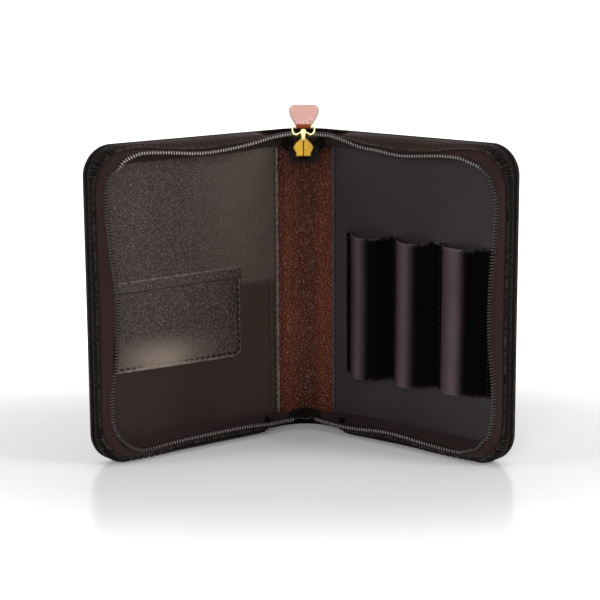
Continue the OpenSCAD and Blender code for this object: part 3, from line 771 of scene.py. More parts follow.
def coil_sheet(side):
    """The coil: a wire wound round the coil's line, with a tube of six sides. The winding is flattened
    a little, so its turns stand up as teeth on the inner edge. The front of each turn carries a painted
    highlight, a dot of light, strongest along the top run and on the left cover."""
    sizes = bpy.context.scene.pen_case_sizes
    pitch, wire = sizes.coil_pitch / MM, sizes.coil_wire / MM
    core_at = lambda s, inner=0.0: rim_point(side, s, *(through(s, COIL_LINE[side]) + [inner, 0]).T)
    rough = np.linspace(2, COIL_END, 4000)
    steps = np.linalg.norm(np.diff(core_at(rough), axis=0), axis=1) / MM
    run = np.concatenate([[0], np.cumsum(steps)])
    turns = int(run[-1] / pitch)
    n = turns * 12
    s = np.interp(np.linspace(0, run[-1], n + 1), run, rough)
    core = core_at(s)
    forward = unit(np.gradient(core, axis=0))
    inward_to = core_at(s, 1.0) - core
    inward_to = unit(inward_to - (inward_to * forward).sum(1, keepdims=True) * forward)
    third = np.cross(forward, inward_to)
    turn = np.linspace(0, turns * 2 * math.pi, n + 1)
    centre = core + (0.25 + COIL_RADIUS * 1.25 * np.cos(turn))[:, None] * inward_to * MM \
        + (COIL_RADIUS * np.sin(turn))[:, None] * third * MM
    # painted highlight: brighter on the left cover than the right, faint down the side, weaker along the
    # bottom
    bright = {LEFT: 0.9, RIGHT: 0.5}[side] * (1 - ease(s, RUN - 4, RUN + 20))
    runs = ease(s, 6, 12) * mix(0.08, 1, mix(bright, 0.3, ease(s, RUN + 180, RUN + 220)))
    dots = hill(np.sin(turn) * -side, 1, 0.12) * runs
    return tube(centre, wire, forward, 6, 0.5, worn=dots[:, None])


def inner_sheet(side):
    """Cloth lining of the gusset, from behind the coil to the lining's edge, and down to the crease at
    the spine's ends. It is a straight run between the two lines with a slight sag."""
    s = edge_steps(*CLOTH_STEPS)[:, None]
    share = np.linspace(0, 1, 16)[None, :]
    coil = through(s, COIL_LINE[side])
    _, folded = spine_way(s)
    near_i = coil[..., 0] + mix(-0.6, 0.6, folded)
    near_v = coil[..., 1] + mix(-1.4, -0.6, folded)
    far_i, far_v = crease_at(s)
    bow = np.sin(share * math.pi)
    inset = mix(near_i, far_i + 0.4, share) + mix(0.5, 0.1, folded) * bow
    v = mix(near_v, far_v, share) + 0.5 * folded * bow
    points = rim_point(side, s, inset, v)
    ripple = 0.16 * MM * sway(points * np.array([1, 1, 0.3]), 5, 3 * side)[..., None] * bow[..., None]
    facing = rim_point(side, s, inset + 2, v + 1.5) - points
    return grid(points + ripple, facing, uv=(s, share * 10))


def rim_stitches(side):
    """Stitches that hold the leather to the tape, a fifth of the section outside its free edge."""
    s = np.linspace(22, EDGE_L - 22, 900)
    t = leather_ends(s) - 0.2
    line = section_point(side, s, t, 0.0)
    return row_of_stitches(line, THIN_THREAD, unit(line - section_point(side, s, t, 1.2)))


# ---------- covers and spine ----------

# the lining's edge beside the hinge, how far its seam is from it, and how strongly a painted sheen lightens
# it there
LINING_START, SEAM_IN = {LEFT: 1.2, RIGHT: 2.1}, 2.0
LINING_SHEEN = {LEFT: 0.34, RIGHT: 0.3}


def hinge_dent(c):
    """Depth of the shallow groove that the outer leather has along the hinge."""
    return 0.25 * hill(c, SPINE_C, 1.6)


def outer_panel(side):
    """Outer leather of one cover and half the spine: a flat panel of rows that end on the rounded
    outline, swollen a little by its padding, and its edge turned inward to the pinched seam."""
    runs, corners, sides = 64, 44, 66
    inset = 1.4
    reach = CORNER_R - inset
    arc = np.linspace(0, math.pi / 2, corners + 1)
    straight = np.linspace(CORNER_R, COVER_H - CORNER_R, sides + 1)[1:-1]
    z = np.concatenate([CORNER_R - reach * np.cos(arc), straight, COVER_H - CORNER_R + reach * np.sin(arc)])
    far = RUN + np.concatenate([reach * np.sin(arc), 0 * straight + reach, reach * np.cos(arc)])
    c = far[:, None] * np.linspace(0, 1, runs + 1)[None, :]
    z = z[:, None]
    inside = np.minimum(np.minimum(z, COVER_H - z), far[:, None] - c)
    swell = 0.3 * ease(inside, 0, 20) * ease(c, SPINE_C, SPINE_C + 15)
    v = -swell + hinge_dent(c)
    points = uneven(place(side, c, v, z), 0.1, 30, side, ease(inside, 0, 10))
    panel = grid(points, (0, 1, 0), uv=(c, z))
    s = edge_steps(runs, corners, sides)[:, None]
    near, _ = spine_way(s)
    seam_v = mix(3.5, 4.6, ease(near, 14, 22))
    bend = np.linspace(0, math.pi / 2, 7)[None, :]
    wall = np.array([0.35, 0.6, 0.8, 0.92, 1.0])[None, :]
    edge_i = np.concatenate([inset * (1 - np.sin(bend)) + 0 * s, 0.6 * ease(wall, 0.6, 1.0) + 0 * s], 1)
    edge_v = np.concatenate([inset * (1 - np.cos(bend)) + 0 * s, mix(inset, seam_v, wall)], 1)
    edge_v = edge_v + hinge_dent(near)
    rim = rim_point(side, s, edge_i, edge_v)
    # the rounded edge is painted paler, partly scuffing and partly painted highlight
    worn = ease(edge_v, 0.2, 0.9) * (1 - ease(edge_v, 1.8, 3.6)) * 0.3
    turned_edge = grid(rim, rim - rim_point(side, s, edge_i + 1, edge_v + 0.8), uv=(s, edge_v), worn=worn)
    return join(panel, turned_edge)


def flat_rows(start, inset, low, high, shares, rows):
    """Grid of (out, height) on a cover: each row runs from start to the rounded outline at an inset,
    with its points at the given shares of its length."""
    radius = CORNER_R - inset
    z = np.linspace(low, high, rows + 1)
    past = np.maximum(z - (COVER_H - inset - radius), inset + radius - z).clip(0, radius)
    far = COVER_W - inset - radius + np.sqrt(radius ** 2 - past ** 2)
    return start + (far[:, None] - start) * shares[None, :], z[:, None] + 0 * shares[None, :]


def hinge_shares(close=24, rest=84):
    """Shares along a row, close together over its first twentieth."""
    return np.concatenate([np.linspace(0, 0.05, close + 1)[:-1], np.linspace(0.05, 1, rest + 1)])


def inward(side):
    """Direction that a cover's inner face looks along."""
    return (-side * math.sin(OPEN), -math.cos(OPEN), 0)


def cover_lining(side):
    """Lining of a cover. It lies flat, with a raised lip at its hinge edge and a channel under the
    stitches beside it."""
    edge = LINING_START[side]
    out, z = flat_rows(edge, 6.5, 6.5, 158.5, hinge_shares(), 120)
    v = PANEL_V + 0.25 * hill(out - edge, 0.5, 0.5) - 0.22 * hill(out, edge + SEAM_IN, 0.5)
    points = uneven(on_cover(side, out, v, z), 0.12, 26, side + 5, ease(out, edge + 3, edge + 20))
    # painted sheen: the lining is painted lighter near the hinge, fading out by 70 mm; its lip is painted
    # pale, partly scuffing and partly painted highlight
    sheen = LINING_SHEEN[side] * (1 - ease(out, 5, 70))
    return grid(points, inward(side), uv=(out, z), worn=(hill(out, edge, 0.7), sheen))


def spine_lining(side):
    """Half of the spine's lining, from its middle to under the cover lining's edge: two soft swells
    with a valley between them."""
    c = np.linspace(0, SPINE_C + 4.5, 60)[None, :]
    z = np.linspace(3.0, 162.0, 110)[:, None]
    v = 3.2 + 0.9 * hill(c, 10.5 + 1.2 * side, 4.6) + 0.5 * ease(c, 12, SPINE_C)
    points = place(side, c, v, z)
    swell = sway(points * np.array([1, 1, 0.5]), 12, 2)
    points = points - np.array([0, 0.14 * MM, 0]) * swell[..., None]
    # painted sheen: the swells are painted lighter than the middle valley, and the top stays darker as
    # painted shade under the top gusset
    swell_sheen = ease(np.abs(side * c - 1.7), 3, 9) * (1 - ease(z, 132, 152))
    return grid(points, (0, -1, 0), uv=(c, z), worn=(0, swell_sheen))


def hinge_stitches(side):
    """The long row beside the hinge."""
    line = on_cover(side, LINING_START[side] + SEAM_IN, PANEL_V - 0.12, np.linspace(9, 156, 200))
    return row_of_stitches(line, THIN_THREAD, inward(side))


# ---------- pocket and flap ----------

# places on the left cover, out from the hinge (start, end) and up (mouth, low, high). The pocket's seam
# is a place too. The flap's is how far it runs inside the edges, and its face is a depth.
POCKET = dict(start=4.2, mouth=84.0, seam=7.8)
FLAP = dict(start=28.4, end=107.5, low=46.9, high=88.0, corner=5.0, face=7.1, seam=2.0)
BAND = dict(start=26.5, end=108, low=87.2, high=93.4)


def pocket_sheet():
    """Pocket's front: a smooth panel over the lower half of the left cover, its mouth rolled and a
    channel under its stitches."""
    out, z = flat_rows(POCKET["start"], 7.5, 7.5, POCKET["mouth"], hinge_shares(12, 84), 80)
    below = POCKET["mouth"] - z
    rim = np.minimum(below, out - POCKET["start"])
    v = PANEL_V + 0.2 + 0.8 * ease(rim, -0.2, 1.2) + 0.15 * hill(below, 1.5, 1.2)
    v = v - 0.2 * hill(out, POCKET["seam"], 0.5) * ease(below, 0, 2)
    points = uneven(on_cover(LEFT, out, v, z), 0.15, 20, 8, ease(rim, 2, 15))
    # the mouth's edge is painted pale; near the hinge a painted sheen lightens the panel, fading out by 60
    # mm
    worn = (0.7 * hill(below, 0, 0.8), 0.4 * (1 - ease(out, 5, 60)))
    return grid(points, inward(LEFT), uv=(out, z), worn=worn)


def pocket_stitches():
    """The row up the pocket's side."""
    line = on_cover(LEFT, POCKET["seam"], PANEL_V + 0.85, np.linspace(12, 82, 80))
    return row_of_stitches(line, FINE_THREAD, inward(LEFT))


def flap_sheet():
    """The flap: a padded ply whose edges roll down, with a raised lip outside its stitches, a channel
    under them, and one rounded corner."""
    start, low, corner = FLAP["start"], FLAP["low"], FLAP["corner"]
    tall = FLAP["high"] - low
    zs = np.concatenate([np.linspace(0, 4, 25)[:-1], np.linspace(4, tall, 50)]) + low
    past = np.clip(low + corner - zs, 0, corner)
    near = (start + corner - np.sqrt(corner ** 2 - past ** 2))[:, None]
    out = near + (FLAP["end"] - near) * hinge_shares(22, 90)[None, :]
    z = zs[:, None] + 0 * out
    to_mid = np.hypot(np.clip(start + corner - out, 0, None), np.clip(low + corner - z, 0, None))
    rim = np.where((out < start + corner) & (z < low + corner), corner - to_mid,
                   np.minimum(out - start, z - low)).clip(0)
    channel = hill(rim, FLAP["seam"], 0.45) * ease(rim, 0, 0.6)
    v = FLAP["face"] - 0.75 * (1 - ease(rim, 0, 1.1)) + 0.12 * hill(rim, 1.1, 0.6) - 0.3 * channel
    v = v + 0.35 * ease(rim, 2.4, 9) + flap_proud(out, z)
    points = uneven(on_cover(LEFT, out, v, flap_droop(out, z)), 0.12, 18, 4, ease(rim, 4, 14))
    # painted sheen on the flap's lower part, strongest towards its far end; the lip outside the stitches is
    # painted pale, partly scuffing and partly painted highlight
    flap_sheen = hill(out, 80, 22) * (1 - ease(z - low, 4, 20))
    return grid(points, inward(LEFT), uv=(out, z), worn=(0.9 * hill(rim, 0.5, 0.6), 0.9 * flap_sheen))


def flap_droop(out, z):
    """Lets the flap hang a little lower towards the hinge: up to 1.6 mm at its lower edge."""
    return z - 1.6 * (1 - ease(out, 30, 105)) * (1 - ease(z, 48, 88))


def flap_proud(out, z):
    """How far the flap's lower part stands off the pocket, most towards its far end."""
    return (0.9 + 1.6 * hill(out, 82, 26)) * (1 - ease(z - FLAP["low"], 0, 17))


def flap_stitches():
    """Stitches inside the flap's free edges, round its corner."""
    inset = FLAP["seam"]
    r = FLAP["corner"] - inset
    turn = np.linspace(0, math.pi / 2, 20)[1:-1]
    mid_out, mid_z = FLAP["start"] + FLAP["corner"], FLAP["low"] + FLAP["corner"]
    out = np.concatenate([[FLAP["start"] + inset] * 2, mid_out - r * np.cos(turn),
                          [mid_out, FLAP["end"] - 1]])
    z = np.concatenate([[FLAP["high"] - 1, mid_z], mid_z - r * np.sin(turn), [FLAP["low"] + inset] * 2])
    line = on_cover(LEFT, out, FLAP["face"] - 0.12 + flap_proud(out, z), flap_droop(out, z))
    return row_of_stitches(line, THICK_THREAD, inward(LEFT), spread=1.05)


def flap_band_sheet():
    """Strip sewn down over the flap's upper edge: a low ridge with its edges rolled."""
    out = np.linspace(BAND["start"], BAND["end"], 90)[None, :]
    z = np.linspace(BAND["low"], BAND["high"], 20)[:, None]
    below = BAND["high"] - z
    rim = np.minimum(z - BAND["low"], below)
    inside = np.minimum(rim, out - BAND["start"])
    v = PANEL_V + 0.1 + mix(0.9, 2.2, ease(below, 2, 6)) * ease(inside, -0.1, 1.0)
    return grid(on_cover(LEFT, out, v, z), inward(LEFT), uv=(out, z), worn=0.6 * hill(rim, 0, 0.5))


# ---------- pen loops ----------

# each loop's section: (distance from its seam, depth over the lining)
LOOPS = [
    (15.0, [(0, 0.9), (1.2, 1.2), (3, 4.2), (6, 7.4), (10, 10.3), (13.5, 11.6), (17, 11.4), (22, 8.3),
            (26, 3.9), (28.6, 1.3), (30, 0.9)]),
    (45.0, [(0, 0.9), (1.2, 1.4), (3, 4), (6, 7), (10.5, 10), (14, 10.7), (17.5, 9.2), (21, 6), (25.5, 2.4),
            (28.4, 1.1), (30, 0.9)]),
    (75.0, [(0, 0.9), (1.4, 1.6), (3.2, 4.2), (7, 6.3), (12, 7.5), (16, 7.4), (21.5, 5), (26, 2),
            (28.6, 1.1), (30, 0.9)]),
]
LOOP_LOW, LOOP_HIGH, LOOP_START, LOOP_PITCH = 33.5, 111.5, 15, 30
LOOP_END = LOOP_START + 3 * LOOP_PITCH
LAND = 0.9  # height of the strip between the loops
LOOP_SEAMS = (14.4, 45.0, 75.0, 105.4)


def loop_height(out):
    """Height of the strip over the lining, loop by loop, with flat lands at both ends, and the
    share of the way up each loop."""
    height = np.full(np.shape(out), LAND)
    share = np.zeros(np.shape(out))
    for start, knots in LOOPS:
        here = (out >= start) & (out <= start + LOOP_PITCH)
        rise = through(out - start, knots)[..., 0]
        height = np.where(here, rise, height)
        share = np.where(here, np.clip((rise - LAND) / (max(k[1] for k in knots) - LAND), 0, 1), share)
    return height, share


def loop_sheet():
    """The strip of soft leather that makes three loops. Its section is carried upright. The mouth dips
    at each crest, and the loops narrow a little at mid height and lean as they go up."""
    out = np.concatenate([np.linspace(13.2, LOOP_START, 5)[:-1], np.linspace(LOOP_START, LOOP_END, 241),
                          np.linspace(LOOP_END, 107.5, 6)[1:]])[None, :]
    up = np.concatenate([np.linspace(0, 0.04, 6)[:-1], np.linspace(0.04, 0.96, 50),
                         np.linspace(0.96, 1, 6)[1:]])[:, None]
    height, crest = loop_height(out)
    z = mix(LOOP_LOW, LOOP_HIGH - 0.9 * ease(crest, 0.1, 0.6), up)
    waist = 1 - 0.06 * np.sin(up * math.pi) * crest
    lean = 0.8 * crest * (up - 0.4)
    mouth, foot = hill(up, 1, 0.012), hill(up, 0, 0.012)
    points = on_cover(RIGHT, out + lean, PANEL_V + height * waist - 0.35 * (mouth + foot) * crest, z)
    soft = sway(points * np.array([1, 1, 0.45]), 11, 6)
    points = points + 0.3 * MM * (soft * crest)[..., None] * np.array(inward(RIGHT))
    # painted highlight up each loop's rising side and crest, none on its far flank, which stays dark
    crest_highlight = crest ** 2 * (1 - ease((out - LOOP_START) % LOOP_PITCH, 13, 20))
    return grid(points, inward(RIGHT), uv=(out, z), worn=(0.8 * (mouth + 0.5 * foot), crest_highlight))


def loop_stitches():
    """Stitches down the lands beside and between the loops."""
    z = np.linspace(LOOP_LOW + 1, LOOP_HIGH - 1, 60)
    lines = [on_cover(RIGHT, out, PANEL_V + 0.85, z) for out in LOOP_SEAMS]
    return join(*(row_of_stitches(line, FINE_THREAD, inward(RIGHT)) for line in lines))


# ---------- slider, pull and the zip's end ----------

# the slider's face: how far forward its front and back are, its foot, height and half width
SLIDER_FRONT, SLIDER_BACK = 15.15, 13.35
SLIDER_LOW, SLIDER_TALL, SLIDER_HALF = 151.8, 10.2, 5.8
# the pull leans back from the crown. The ring's axis is there, and its far bar is RING_REACH along it.
PULL_LEAN = math.radians(35)
RING_UP, RING_FORWARD, RING_REACH, RING_WIRE = 164.5, 14.55, 5.0, 0.5
TAB_START, TAB_END = 5.75, 22.2
CHAIN_FORWARD, CHAIN_WIRE = 12.0, 0.36


def in_front(x, forward, z):
    """Spine coordinates, forward of the hinge lines, to the case's frame in metres."""
    x, forward, z = np.broadcast_arrays(*(np.asarray(q, float) for q in (x, forward, z)))
    return np.stack([x, HINGE_Y - forward, z], -1) * MM


def on_pull(x, along, out):
    """Pull coordinates, along the pull from the crown and out of its plane, to the case's frame."""
    back = along * math.cos(PULL_LEAN) - out * math.sin(PULL_LEAN)
    up = along * math.sin(PULL_LEAN) + out * math.cos(PULL_LEAN)
    return in_front(x, RING_FORWARD - back, RING_UP + up)


def pull_out():
    """Direction out of the pull's plane."""
    return on_pull(0, 0, 1) - on_pull(0, 0, 0)


def slider_plate():
    """Face of the slider, like the nib of a pen: domed, bevelled all round, and slit down the middle.
    Rows go up it and columns across, and the height falls off with distance from the outline, which
    has a stepped foot, wide shoulders and a point."""
    z = np.linspace(0, SLIDER_TALL, 60)[:, None]
    half = through(z, [(0, 4.2), (1.8, 4.15), (2.3, 4.35), (3.6, 5.1), (4.8, 5.55), (6.1, 5.0), (8.3, 2.9),
                       (9.6, 1.5), (10.2, 1.1)])[..., 0]
    across = np.linspace(0.05, 1, 24)
    x = half * np.concatenate([-across[::-1], [-0.03, 0, 0.03], across])[None, :]
    rim = np.minimum(np.minimum(half - np.abs(x), z), (SLIDER_TALL - z) * 0.8 + 0.4)
    bevel = round_edge(rim, 0.7)
    dome = 0.9 * (1 - np.abs(x) / SLIDER_HALF)
    slit = hill(x, 0, 0.2) * (1 - ease(z, 9.0, 9.8))
    forward = SLIDER_FRONT - 1.1 + 0.4 * bevel + dome * bevel - 0.8 * slit
    front, back = in_front(x, forward, SLIDER_LOW + z), in_front(x, SLIDER_BACK, SLIDER_LOW + z)
    return join(grid(front, (0, -1, 0)), grid(back, (0, 1, 0)),
                side_wall(front, back, in_front(0, SLIDER_FRONT, SLIDER_LOW + 4.8)))


def bridge_sheet():
    """Crown of the slider: a narrow strap from the point of the shield, up and over the ring's wire."""
    turn = np.linspace(-0.1, math.pi + 0.1, 22)
    forward = np.concatenate([[15.2, 15.7, 16.1], RING_FORWARD + 1.65 * np.cos(turn), [13.0, 13.0]])[:, None]
    up = np.concatenate([[160.3, 161.6, 163.0], 164.6 + 1.65 * np.sin(turn), [163.0, 161.0]])[:, None]
    u = np.linspace(-1, 1, 11)[None, :]
    x = through(up, [(160, 1.25), (162, 1.05), (164, 1.2), (165.5, 1.5), (166.3, 1.2)])[..., 0] * u
    points = in_front(x, forward, up)
    outward = unit(points - in_front(0, RING_FORWARD, np.minimum(up, 164.6)))
    crown = 0.25 * (1 - u ** 2)
    return grid(points + crown[..., None] * outward * MM, outward, uv=(x, up))


def ring_tube():
    """Pull ring bent from wire: a bar through the crown, a lobe each side, and a bar under the tab's
    fold. Half of it is a curve through round knots, and the other half mirrors it."""
    knots = [(0, 0, 0), (1, 1.7, 0), (2, 2.6, -0.8), (3, 3.8, -1.4), (4, 5.0, -0.7), (5, 5.75, 1.2),
             (6, 5.8, 3.4), (7, 5.2, 4.7), (8, 4.0, 5.0), (9, 0, 5.0)]
    half = through(np.linspace(0, 9, 91), knots)
    x, along = np.concatenate([half, half[-2:0:-1] * [-1, 1]]).T
    return tube(on_pull(x, along, 0 * x), RING_WIRE, pull_out(), 10, 0.3, closed=True)


def tab_ply(face):
    """One ply of the tab, face +1 in front or -1 behind: flat where the plies meet, with a rounded
    edge and a slightly padded face. It spreads from its fold to its far end, where it is round."""
    a = np.concatenate([np.linspace(TAB_START, 17, 40)[:-1], np.linspace(17, TAB_END, 30)])[:, None]
    half = through(a, [(5.6, 4.1), (7.5, 4.9), (12, 6.7), (16.8, 8.0), (18.8, 8.1), (20.2, 7.5), (21.6, 6.2),
                       (22.2, 4.6)])[..., 0]
    x = half * np.sin(np.linspace(-math.pi / 2, math.pi / 2, 41))[None, :]
    a = a + 0 * x
    rim = np.minimum(half - np.abs(x), np.minimum(TAB_END - a, 2 * (a - TAB_START)))
    out = face * (0.35 + 0.75 * round_edge(rim, 0.8) + 0.12 * ease(rim, 0.8, 4))
    top, under = uneven(on_pull(x, a, out), 0.05, 5, face, 1), on_pull(x, a, 0.02 * face)
    return join(grid(top, pull_out() * face, uv=(x, a), worn=hill(rim, 0, 0.5)),
                grid(under, -pull_out() * face, uv=(x, a)),
                side_wall(top, under, on_pull(0, 13, 0), worn=0.8))


def tab_fold_sheet():
    """Leather that wraps the ring's bar and runs down between the plies: an open loop, thickened."""
    turn = np.linspace(-math.pi * 0.80, math.pi * 0.80, 29)
    radius = 1.15
    along = np.concatenate([[8.2, 7.0], RING_REACH - radius * np.cos(turn), [7.0, 8.2]])[:, None]
    out = np.concatenate([[-1.15, -1.0], radius * np.sin(turn), [1.0, 1.15]])[:, None]
    half = 3.9
    x = np.linspace(-half, half, 18)[None, :]
    points = on_pull(x, along, out * (1 + 0.05 * np.sin(x * 2)))
    worn = 0.5 * hill(np.abs(x), half, 0.4)
    return grid(points, points - on_pull(x, RING_REACH, 0), uv=(x, along), worn=worn)


def chain_sheet():
    """The closed chain below the slider: the two coils side by side, as two wound wires."""
    parts = []
    for side in (LEFT, RIGHT):
        turns = 5
        n = turns * 14
        turn = np.linspace(0, turns * 2 * math.pi, n + 1)
        centre = in_front(side * (1.15 + 1.3 * np.cos(turn)), CHAIN_FORWARD + 0.8 * np.sin(turn + side),
                          np.linspace(150.5, 155.6, n + 1))
        parts.append(tube(centre, CHAIN_WIRE, [0, 0, 1.0], 8, 0.5))
    return join(*parts)


def end_tape_sheet():
    """Tapes beside the closed chain."""
    x = np.linspace(2.0, 8.0, 12)[None, :]
    z = np.linspace(150.2, 157.6, 16)[:, None]
    forward = CHAIN_FORWARD - 0.25 * np.sin((x - 2) / 6 * math.pi)
    return join(*(grid(in_front(side * x, forward, z), (0, -1, 0), uv=(side * x, z)) for side in SIDES))


def end_patch_sheet():
    """Leather binding under the chain's end: a strip folded round the tapes' ends."""
    turn = np.linspace(0, 2 * math.pi, 25)[:-1][:, None]
    x = np.linspace(-6.8, 6.8, 30)[None, :]
    near = np.sqrt(1 - (np.abs(x) / 7) ** 4)
    points = in_front(x, CHAIN_FORWARD + np.sin(turn) * near, 149.5 + 0.85 * np.cos(turn) * near)
    return grid(points, points - in_front(x, CHAIN_FORWARD, 149.5), closed=(True, False), uv=(x, turn))


# ---------- settings ----------


def length(label, text, value):
    """A length property, given in millimetres."""
    return FloatProperty(name=label, description=text, default=value * MM, unit="LENGTH", min=0.0,
                         precision=5)


def colour(label, text, value):
    """A colour property, given as its linear red, green and blue."""
    return FloatVectorProperty(name=label, description=text, default=value, subtype="COLOR", size=3,
                               min=0.0, max=1.0)


def level(label, text, value, low=0.0):
    """A plain number property."""
    return FloatProperty(name=label, description=text, default=value, min=low)


class PenCaseSizes(PropertyGroup):
    """Sizes of the fine work that a maker would change."""

    leather: length("Leather", "Thickness of the outer leather", 1.1)
    gusset: length("Gusset", "Thickness of the gusset leather", 0.8)
    lining: length("Lining", "Thickness of the linings", 0.7)
    pleat_depth: length("Pleat depth", "Depth of the gathers round the corners", 0.32)
    coil_pitch: length("Coil pitch", "Distance between the turns of the zip coil", 1.6)
    coil_wire: length("Coil wire", "Radius of the wire of the zip coil", 0.4)
    stitch_pitch: length("Stitch pitch", "Distance between stitches", 3.4)
    stitch_length: length("Stitch length", "Length of one stitch", 2.5)


class PenCaseColours(PropertyGroup):
    """Colours of the finishes."""

    outer_leather: colour("Outer leather", "Leather outside the case", (0.0045, 0.0033, 0.0027))
    lining: colour("Lining", "Grained leather inside the left cover", (0.016, 0.009, 0.007))
    smooth: colour("Smooth lining", "Smooth leather inside the right cover", (0.019, 0.0145, 0.0165))
    # colour of pale edges: partly scuffing, partly painted highlight on lips, edge strips and pleat crests
    scuff_and_highlight_edge: colour("Worn edge", "Leather where its edges are rubbed", (0.17, 0.145, 0.13))
    spine_lining: colour("Spine lining", "Pebbled leather down the spine", (0.105, 0.0235, 0.0105))
    # a light pink, lighter than the tab's brown-red leather: painted highlight of strong light from above
    tab: colour("Tab", "Face of the pull tab", (0.93, 0.52, 0.45))
    tab_edge: colour("Tab edge", "Fold and back of the pull tab", (0.3, 0.06, 0.015))
    tape: colour("Tape", "Zip tape and gusset lining", (0.028, 0.009, 0.009))
    coil: colour("Coil", "Zip coil", (0.014, 0.008, 0.007))
    thread: colour("Thread", "Sewing thread", (0.003, 0.002, 0.002))
    metal: colour("Metal", "Slider", (0.54, 0.32, 0.038))
    wire: colour("Wire", "Crown and ring of the slider", (1.0, 0.9, 0.44))


class StageSettings(PropertyGroup):
    """Floor, light and camera."""

    floor: colour("Floor", "Colour of the floor", (0.9, 0.89, 0.89))
    key: level("Key light", "Power of the soft light on the right", 10.0)
    fill: level("Fill light", "Power of the soft light on the left", 6.0)
    top: level("Top light", "Power of the wide light overhead", 8.0)
    front: level("Front light", "Power of the light over the camera", 13.0)
    sky: level("Sky", "Strength of the even light from all round", 0.1)
    lens: level("Lens", "Focal length of the camera in millimetres", 108.0, low=1.0)
    parts: IntProperty(name="Floor divisions", description="Faces along the floor", default=8, min=1)


# ---------- operators ----------


class PENCASE_OT_covers(Operator):
    """Outer leather of the covers and spine, with its turned edge"""

    bl_idname = "pencase.covers"
    bl_label = "Covers"

    def execute(self, context):
        thick = context.scene.pen_case_sizes.leather / MM
        for side, name in SIDES.items():
            piece("cover_leather_" + name, outer_panel(side), "case_black", "black_leather", side,
                  "spine_leather", name + "_leather", name + "_padding", thick=thick)
        for name in ("left_board", "right_board", "spine_board"):
            dress(name, "grey_board")
        return {"FINISHED"}


class PENCASE_OT_linings(Operator):
    """Linings of the covers and of the spine, and the stitches beside the hinges"""

    bl_idname = "pencase.linings"
    bl_label = "Linings"

    def execute(self, context):
        thick = context.scene.pen_case_sizes.lining / MM
        for side, name in SIDES.items():
            finish = "grained_lining" if side == LEFT else "smooth_lining"
            piece("cover_lining_" + name, cover_lining(side), finish, "lining_leather", side,
                  name + "_lining", thick=thick)
            piece("spine_lining_" + name, spine_lining(side), "pebbled_brown", "brown_leather", side,
                  "spine_lining", thick=thick)
            sewn("hinge_stitches_" + name, hinge_stitches(side), side, name + "_hinge_thread")
        return {"FINISHED"}


class PENCASE_OT_rim(Operator):
    """Gusset leather, zip tape, coil, cloth lining and stitches of the rim"""

    bl_idname = "pencase.rim"
    bl_label = "Rim and zip"

    def execute(self, context):
        thick = context.scene.pen_case_sizes.gusset / MM
        for side, name in SIDES.items():
            piece("gusset_leather_" + name, gusset_sheet(side), "case_black", "black_leather", side,
                  name + "_gusset", "spine_top_gusset", "spine_foot_gusset", thick=thick)
            piece("zip_tape_" + name, tape_sheet(side), "tape_cloth", "brown_tape", side, name + "_tape",
                  thick=CLOTH)
            piece("zip_coil_" + name, coil_sheet(side), "coil_nylon", "coil", side, name + "_coil",
                  merge=WIRE_MERGE)
            piece("gusset_lining_" + name, inner_sheet(side), "gusset_shaded_cloth", "brown_tape", side,
                  thick=CLOTH)
            sewn("rim_stitches_" + name, rim_stitches(side), side, name + "_rim_thread")
            dress(name + "_top_stop", "case_black")
        return {"FINISHED"}


class PENCASE_OT_pocket(Operator):
    """Pocket, its flap and band, and their stitches"""

    bl_idname = "pencase.pocket"
    bl_label = "Pocket and flap"

    def execute(self, context):
        thick = context.scene.pen_case_sizes.lining / MM
        piece("pocket_panel", pocket_sheet(), "pocket_lining", "lining_leather", "left_cover",
              "pocket_front", thick=thick)
        sewn("pocket_stitches", pocket_stitches(), "left_cover", "pocket_thread")
        piece("flap_leather", flap_sheet(), "grained_lining", "lining_leather", "flap", "pocket_flap",
              "flap_backing", thick=0.9)
        sewn("flap_stitches", flap_stitches(), "flap", "flap_thread")
        piece("flap_band_leather", flap_band_sheet(), "grained_lining", "lining_leather", "left_cover",
              "flap_band", thick=0.5)
        return {"FINISHED"}


class PENCASE_OT_loops(Operator):
    """Three pen loops sewn from one strip"""

    bl_idname = "pencase.loops"
    bl_label = "Pen loops"

    def execute(self, context):
        piece("pen_loops", loop_sheet(), "loop_leather", "black_leather", "right_cover", "pen_loop_strip",
              thick=0.9)
        sewn("loop_stitches", loop_stitches(), "right_cover", "loop_thread")
        return {"FINISHED"}


class PENCASE_OT_pull(Operator):
    """Slider, ring, leather tab, and the closed end of the zip"""

    bl_idname = "pencase.pull"
    bl_label = "Slider and pull"

    def execute(self, context):
        piece("slider_nib_plate", slider_plate(), "gilt", "gold", "slider", "slider_face",
              merge=0.002, crease=50)
        piece("slider_bridge", bridge_sheet(), "pale_gilt", "gold", "slider", "slider_crown", thick=0.7,
              rounding=0.15)
        piece("wire_ring", ring_tube(), "pale_gilt", "gold", "ring", "pull_ring", merge=WIRE_MERGE)
        dress("slider_body", "gilt")
        # the metal bottom stop takes the black leather finish: painted shade, so it sits dark in the
        # slider's shadow
        dress("bottom_stop", "case_black")
        piece("tab_face_ply", tab_ply(1), "tab_lit_face", "red_leather", "tab", "tab_front")
        piece("tab_back_ply", tab_ply(-1), "tab_rust", "brown_leather", "tab", "tab_back")
        piece("tab_fold_loop", tab_fold_sheet(), "tab_rust", "brown_leather", "tab", "tab_fold", thick=0.35)
        piece("closed_chain", chain_sheet(), "coil_nylon", "coil", "spine", "chain_end", merge=WIRE_MERGE)
        piece("closed_tape", end_tape_sheet(), "tape_shadow_cloth", "brown_tape", "spine", "chain_end_tape",
              thick=CLOTH)
        piece("chain_end_binding", end_patch_sheet(), "tape_shadow_cloth", "black_leather", "spine",
              "zip_end_patch")
        return {"FINISHED"}


